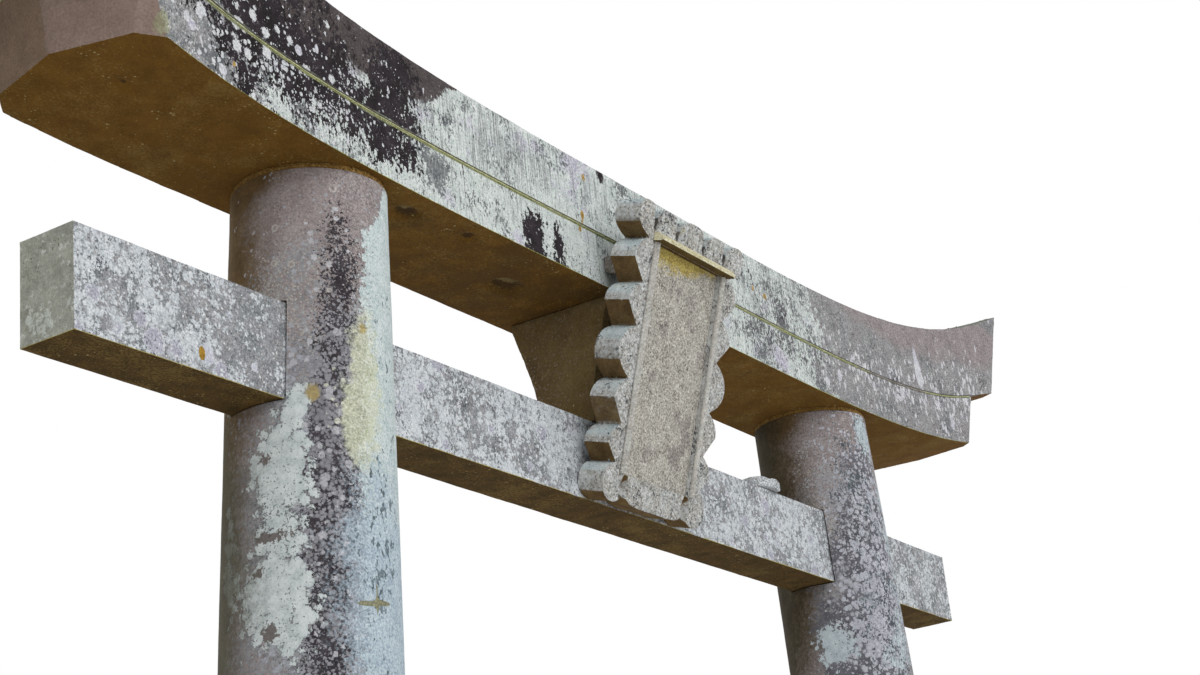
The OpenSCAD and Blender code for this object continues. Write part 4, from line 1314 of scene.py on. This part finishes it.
@dataclass
class Mason:
    """Copies stones out of the frame and weathers them."""

    frame: dict
    weather: WeatherTree = field(default_factory=WeatherTree)
    beads: BeadTree = field(default_factory=BeadTree)
    finishes: dict[str, bpy.types.Material] = field(default_factory=dict)
    triangles: int = 0

    # Points of a solid nearer than this are one.
    WELD = 1e-5
    # The most of its box that a stone may fill when it is cut into even faces.
    FILLED = 0.99

    def material(self, finish: StoneFinish) -> bpy.types.Material:
        """Gives a finish's material.

        Args:
            finish: the finish.

        Returns:
            Its material, built on first use.
        """
        if finish.name not in self.finishes:
            self.finishes[finish.name] = finish.build()
        return self.finishes[finish.name]

    def stone(
        self, node: str, finish: StoneFinish, voxel_mm: float, wear: Wear, chips: tuple[Chip, ...] = ()
    ) -> None:
        """Makes the weathered stone that stands for a node of the frame.

        Args:
            node: the node's name.
            finish: the stone's finish.
            voxel_mm: size of the mesh's faces.
            wear: how far it has weathered.
            chips: flakes lost from it.
        """
        source = self.frame["nodes"][node]
        shape = bmesh.new()
        shape.from_mesh(source.data)
        bmesh.ops.remove_doubles(shape, verts=shape.verts, dist=self.WELD)
        mesh = bpy.data.meshes.new(node + "_block")
        shape.to_mesh(mesh)
        shape.free()
        block = show(node + "_block", mesh)
        cut = block.modifiers.new("even faces", "REMESH")
        if wear.crisp:
            longest = max(block.dimensions)
            cut.mode = "SHARP"
            cut.octree_depth = math.ceil(math.log2(longest / (self.FILLED * voxel_mm * MM)))
            cut.scale = longest / (voxel_mm * MM * 2**cut.octree_depth)
            cut.use_remove_disconnected = False
        else:
            cut.mode = "VOXEL"
            cut.voxel_size = voxel_mm * MM
        self.weather.wear(block, wear, self.material(finish))
        piece = as_plain_mesh("worn_" + node, block)
        for chip in chips:
            chip.cut(piece.data)
        self.place(piece, finish)
        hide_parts(node)

    def bead(
        self, name: str, points: list[Vector], closed: bool, thickness: float, finish: StoneFinish
    ) -> None:
        """Makes a bead of mortar along a path and puts it on the gate."""
        piece = self.beads.squeeze(name, points, closed, thickness, self.material(finish))
        self.place(piece, finish)

    def place(self, piece: bpy.types.Object, finish: StoneFinish) -> None:
        """Attaches a finished piece to the gate's body and reports it.

        Args:
            piece: the piece, a plain mesh.
            finish: its finish; not used.
        """
        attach(piece, BODY)
        count = sum(len(p.vertices) - 2 for p in piece.data.polygons)
        self.triangles += count
        LOG.info("%s: %d triangles", piece.name, count)

    def keep(self, node: str, finish: StoneFinish) -> None:
        """Gives a node of the frame that stays as it is its finish.

        Args:
            node: the node's name.
            finish: its finish.
        """
        target = self.frame["nodes"][node]
        target.data.materials.clear()
        target.data.materials.append(self.material(finish))
        LOG.info("%s: kept from the frame", node)


@dataclass
class Pillars:
    """The two leaning pillars, the mortar at their heads and the base stones round their feet."""

    voxel_mm: float = 10.0
    wear: Wear = Wear(0.3, 1, 2.5, 170.0, 0.8, 30.0)
    foot_voxel_mm: float = 13.0
    foot_wear: Wear = Wear(0.8, 4, 3.0, 110.0, 1.2, 30.0, False)
    # The bead at the head: its ring's radius and depth under the lintel's curve, and its thickness.
    head_radius: float = 0.1765
    head_depth: float = 0.0065
    bead: float = 0.009
    steps: int = 72
    # How often a point of the ring is moved along the pillar until it meets the curve.
    tries: int = 3

    def build(self, mason: Mason) -> None:
        """Makes the pillars, their head mortar and their base stones.

        Args:
            mason: makes the pieces and keeps count of them.
        """
        for side, word, finish in ((-1, "left", LEFT_PILLAR), (1, "right", RIGHT_PILLAR)):
            mason.stone(word + "_pillar", finish, self.voxel_mm, self.wear)
            mason.keep(word + "_head_mortar", MORTAR)
            mason.bead(word + "_head_bead", self.head_ring(side), True, self.bead, MORTAR)
            for place in ("front", "back"):
                mason.stone(f"{word}_base_{place}", FOOT, self.foot_voxel_mm, self.foot_wear)

    def head_ring(self, side: int) -> list[Vector]:
        """The path round a pillar's head, just under the lintel's curve.

        Args:
            side: -1 for the left pillar, 1 for the right one.

        Returns:
            Points of a closed ring.
        """
        lean = Euler((0, -side * PILLAR_LEAN, 0)).to_matrix()
        foot = Vector((PILLAR_MIDDLE + side * PILLAR_FOOT, 0, 0))
        axis = lean @ Vector((0, 0, 1))
        points = []
        for i in range(self.steps):
            turn = 2 * math.pi * i / self.steps
            rim = lean @ Vector((math.cos(turn), math.sin(turn), 0)) * self.head_radius
            base = foot + rim
            height = UNDERSIDE[0]
            for _ in range(self.tries):
                x = base.x + axis.x * height / axis.z
                height = curve_height(UNDERSIDE, x) - self.head_depth
            points.append(base + axis * ((height - base.z) / axis.z))
        return points


@dataclass
class TieBeam:
    """The three lengths of the straight tie beam."""

    voxel_mm: float = 9.0
    wear: Wear = Wear(0.2, 1, 1.5, 120.0, 0.9, 24.0)

    def build(self, mason: Mason) -> None:
        """Makes the three lengths."""
        for part in ("left_end", "middle", "right_end"):
            mason.stone("tie_beam_" + part, BEAM, self.voxel_mm, self.wear)


@dataclass
class Lintels:
    """The two upswept courses and the mortar joint between them."""

    voxel_mm: float = 9.0
    wear: Wear = Wear(0.35, 1, 1.2, 140.0, 0.8, 24.0)
    bead: float = 0.003
    half_run: float = 2.055
    steps: int = 120
    # Old dents in the underside.
    chips: tuple[Chip, ...] = (
        Chip((-0.499, 0.0, 3.268), (0.07, 0.045, 0.03), (0, 0, 0.02)),
        Chip((-1.061, -0.102, 3.270), (0.05, 0.035, 0.03), (0, 0, 0.014)),
        Chip((-0.836, -0.122, 3.268), (0.03, 0.025, 0.03), (0, 0, 0.01)),
        Chip((-1.940, -0.045, 3.303), (0.035, 0.02, 0.03), (0, 0, 0.008)),
        Chip((-1.600, -0.10, 3.278), (0.03, 0.025, 0.03), (0, 0, 0.008)),
    )
    # The worn crests of the two upswept tips.
    crests: tuple[Chip, ...] = tuple(
        Chip((side * 2.38, 0.0, 3.9), (0.3, 0.26, 0.08), (0, 0, -0.012)) for side in (-1, 1)
    )

    def build(self, mason: Mason) -> None:
        """Makes both courses, the mortar and its beads.

        Args:
            mason: makes the pieces and keeps count of them.
        """
        for side in ("left", "right"):
            mason.stone("upper_lintel_" + side, LINTEL, self.voxel_mm, self.wear, self.crests)
            mason.stone("lower_lintel_" + side, LINTEL, self.voxel_mm, self.wear, self.chips)
            mason.keep("lintel_mortar_" + side, SEAM_MORTAR)
        for face, word in ((-1, "front"), (1, "back")):
            points = []
            for i in range(-self.steps, self.steps + 1):
                x = self.half_run * i / self.steps
                points.append(Vector((x, face * (face_depth(x) + self.bead), curve_height(JOINT, x))))
            mason.bead("joint_bead_" + word, points, False, self.bead, SEAM_MORTAR)


@dataclass
class Plaque:
    """The scalloped plaque, its mortar packings and the strut behind it."""

    voxel_mm: float = 4.8
    fine_mm: float = 2.5
    strut_voxel_mm: float = 8.0
    slab_wear: Wear = Wear(0.35, 2, 1.2, 60.0, 1.2, 14.0)
    panel_wear: Wear = Wear(0.0, 1, 0.4, 60.0, 1.2, 9.0)
    moulding_wear: Wear = Wear(0.1, 1, 0.4, 50.0, 0.6, 12.0)
    eave_wear: Wear = Wear(0.3, 2, 1.5, 50.0, 1.0, 12.0)
    packing_wear: Wear = Wear(0.9, 8, 4.0, 25.0, 2.5, 9.0, False)
    strut_wear: Wear = Wear(0.5, 3, 2.0, 100.0, 0.8, 24.0)
    # Grooves, 40 mm wide and 22 mm deep, down the crown's face from the notches between its lobes
    # and up from the foot's: each one's distance from the middle, place, half height and rise.
    grooves: tuple[Chip, ...] = tuple(
        Chip((PLAQUE_MIDDLE + side * x, y, z), (0.02, 0.09, tall), (0, 0.022, rise))
        for side in (-1, 1)
        for x, y, z, tall, rise in (
            (0.07, -0.37, 3.45, 0.09, -0.022),
            (0.181, -0.37, 3.45, 0.09, -0.022),
            (0.154, -0.154, 2.712, 0.045, 0.01),
        )
    )

    def build(self, mason: Mason) -> None:
        """Makes the plaque's stones, the packings and the strut.

        Args:
            mason: makes the pieces and keeps count of them.
        """
        mason.stone("plaque_slab", SLAB, self.voxel_mm, self.slab_wear, self.grooves)
        mason.stone("plaque_panel", PANEL, self.voxel_mm, self.panel_wear)
        for side in ("left", "right"):
            mason.stone(f"plaque_{side}_moulding", MOULDING, self.fine_mm, self.moulding_wear)
        mason.stone("plaque_eave", EAVE, self.fine_mm, self.eave_wear)
        mason.stone("plaque_packings", PACKING, self.fine_mm, self.packing_wear)
        mason.stone("strut", STRUT, self.strut_voxel_mm, self.strut_wear)


@dataclass
class LooseStone:
    """The water-worn stone left on the tie beam."""

    voxel_mm: float = 3.0
    wear: Wear = Wear(1.0, 10, 1.5, 40.0, 0.5, 10.0, False)

    def build(self, mason: Mason) -> None:
        """Makes the stone, worn round."""
        mason.stone("loose_stone", PEBBLE, self.voxel_mm, self.wear)


@dataclass(frozen=True)
class Lamp:
    """A soft square lamp aimed at the gate's middle."""

    name: str
    place: tuple[float, float, float]
    size: float
    power: float

    def build(self, aim: tuple[float, float, float]) -> None:
        """Makes the lamp.

        Args:
            aim: the point that it is turned to.
        """
        data = bpy.data.lights.new(self.name, "AREA")
        data.energy = self.power
        data.size = self.size
        piece = show(self.name, data)
        piece.location = self.place
        piece.rotation_euler = (Vector(aim) - Vector(self.place)).to_track_quat("-Z", "Y").to_euler()


@dataclass
class Studio:
    """Floor, soft light and the camera."""

    floor_half: float = 40.0
    floor_colour: str = "#d8d6d2"
    floor_roughness: float = 0.9
    ambient: float = 0.48
    lamps: tuple[Lamp, ...] = (
        Lamp("key", (-6.0, -10.0, 8.0), 9.0, 760.0),
        Lamp("fill", (8.0, -7.0, 5.0), 7.0, 220.0),
        Lamp("back", (3.0, 10.0, 8.0), 9.0, 360.0),
    )
    aim: tuple[float, float, float] = (0, 0, 2.6)
    # Camera: where it stands, its heading, climb and roll in degrees, and its lens.
    stand: tuple[float, float, float] = (-4.834, -2.866, 1.176)
    heading: float = 30.91
    climb: float = 20.34
    roll: float = -5.9675
    focal_px: float = 2122.87
    frame_px: float = 1200.0
    sensor_mm: float = 36.0

    def build(self) -> None:
        """Makes the floor, the light and the camera."""
        self.floor()
        self.world()
        for lamp in self.lamps:
            lamp.build(self.aim)
        self.camera()

    def floor(self) -> None:
        """A plain pale floor, apart from the gate."""
        h = self.floor_half
        mesh = bpy.data.meshes.new("floor")
        mesh.from_pydata([(-h, -h, 0), (h, -h, 0), (h, h, 0), (-h, h, 0)], [], [(0, 1, 2, 3)])
        piece = show("floor", mesh)
        material = bpy.data.materials.new("pale floor")
        material.use_nodes = True
        tree = material.node_tree
        tree.nodes.clear()
        look = {"Base Color": linear(self.floor_colour), "Roughness": self.floor_roughness}
        add(tree, "ShaderNodeOutputMaterial", {0: add(tree, "ShaderNodeBsdfPrincipled", look)})
        mesh.materials.append(material)

    def world(self) -> None:
        """Even ambient light, and plain white where the camera or a reflection sees past the gate."""
        world = bpy.data.worlds.new("studio")
        bpy.context.scene.world = world
        world.use_nodes = True
        tree = world.node_tree
        tree.nodes.clear()
        rays = add(tree, "ShaderNodeLightPath").outputs
        seen = rays["Is Camera Ray"]
        for name in ("Is Glossy Ray", "Is Transmission Ray"):
            seen = add(tree, "ShaderNodeMath", {0: seen, 1: rays[name]}, operation="MAXIMUM")
        strength = add(tree, "ShaderNodeMapRange", {"Value": seen, "To Min": self.ambient, "To Max": 1.0})
        light = add(tree, "ShaderNodeBackground", {"Color": linear("#ffffff"), "Strength": strength})
        add(tree, "ShaderNodeOutputWorld", {0: light})

    def camera(self) -> None:
        """The camera at the photograph's viewing angle and framing."""
        data = bpy.data.cameras.new("view")
        data.sensor_width = self.sensor_mm
        data.lens = self.focal_px / self.frame_px * self.sensor_mm
        piece = show("view", data)
        yaw, pitch, roll = (math.radians(a) for a in (self.heading, self.climb, self.roll))
        ahead = Vector((math.cos(yaw) * math.cos(pitch), math.sin(yaw) * math.cos(pitch), math.sin(pitch)))
        right = Vector((math.sin(yaw), -math.cos(yaw), 0))
        up = right.cross(ahead)
        right, up = (
            math.cos(roll) * right + math.sin(roll) * up,
            math.cos(roll) * up - math.sin(roll) * right,
        )
        turn = Matrix((right, up, -ahead)).transposed().to_4x4()
        piece.matrix_world = Matrix.Translation(self.stand) @ turn
        bpy.context.scene.camera = piece


def main() -> None:
    logging.basicConfig(level=logging.INFO, format="%(name)s: %(message)s")
    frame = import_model()
    scene = bpy.context.scene
    scene.view_settings.view_transform = "Standard"
    Studio().build()
    mason = Mason(frame)
    for part in (Pillars(), TieBeam(), Lintels(), Plaque(), LooseStone()):
        part.build(mason)
    LOG.info("triangles in all: %d", mason.triangles)


if __name__ == "__main__":
    main()
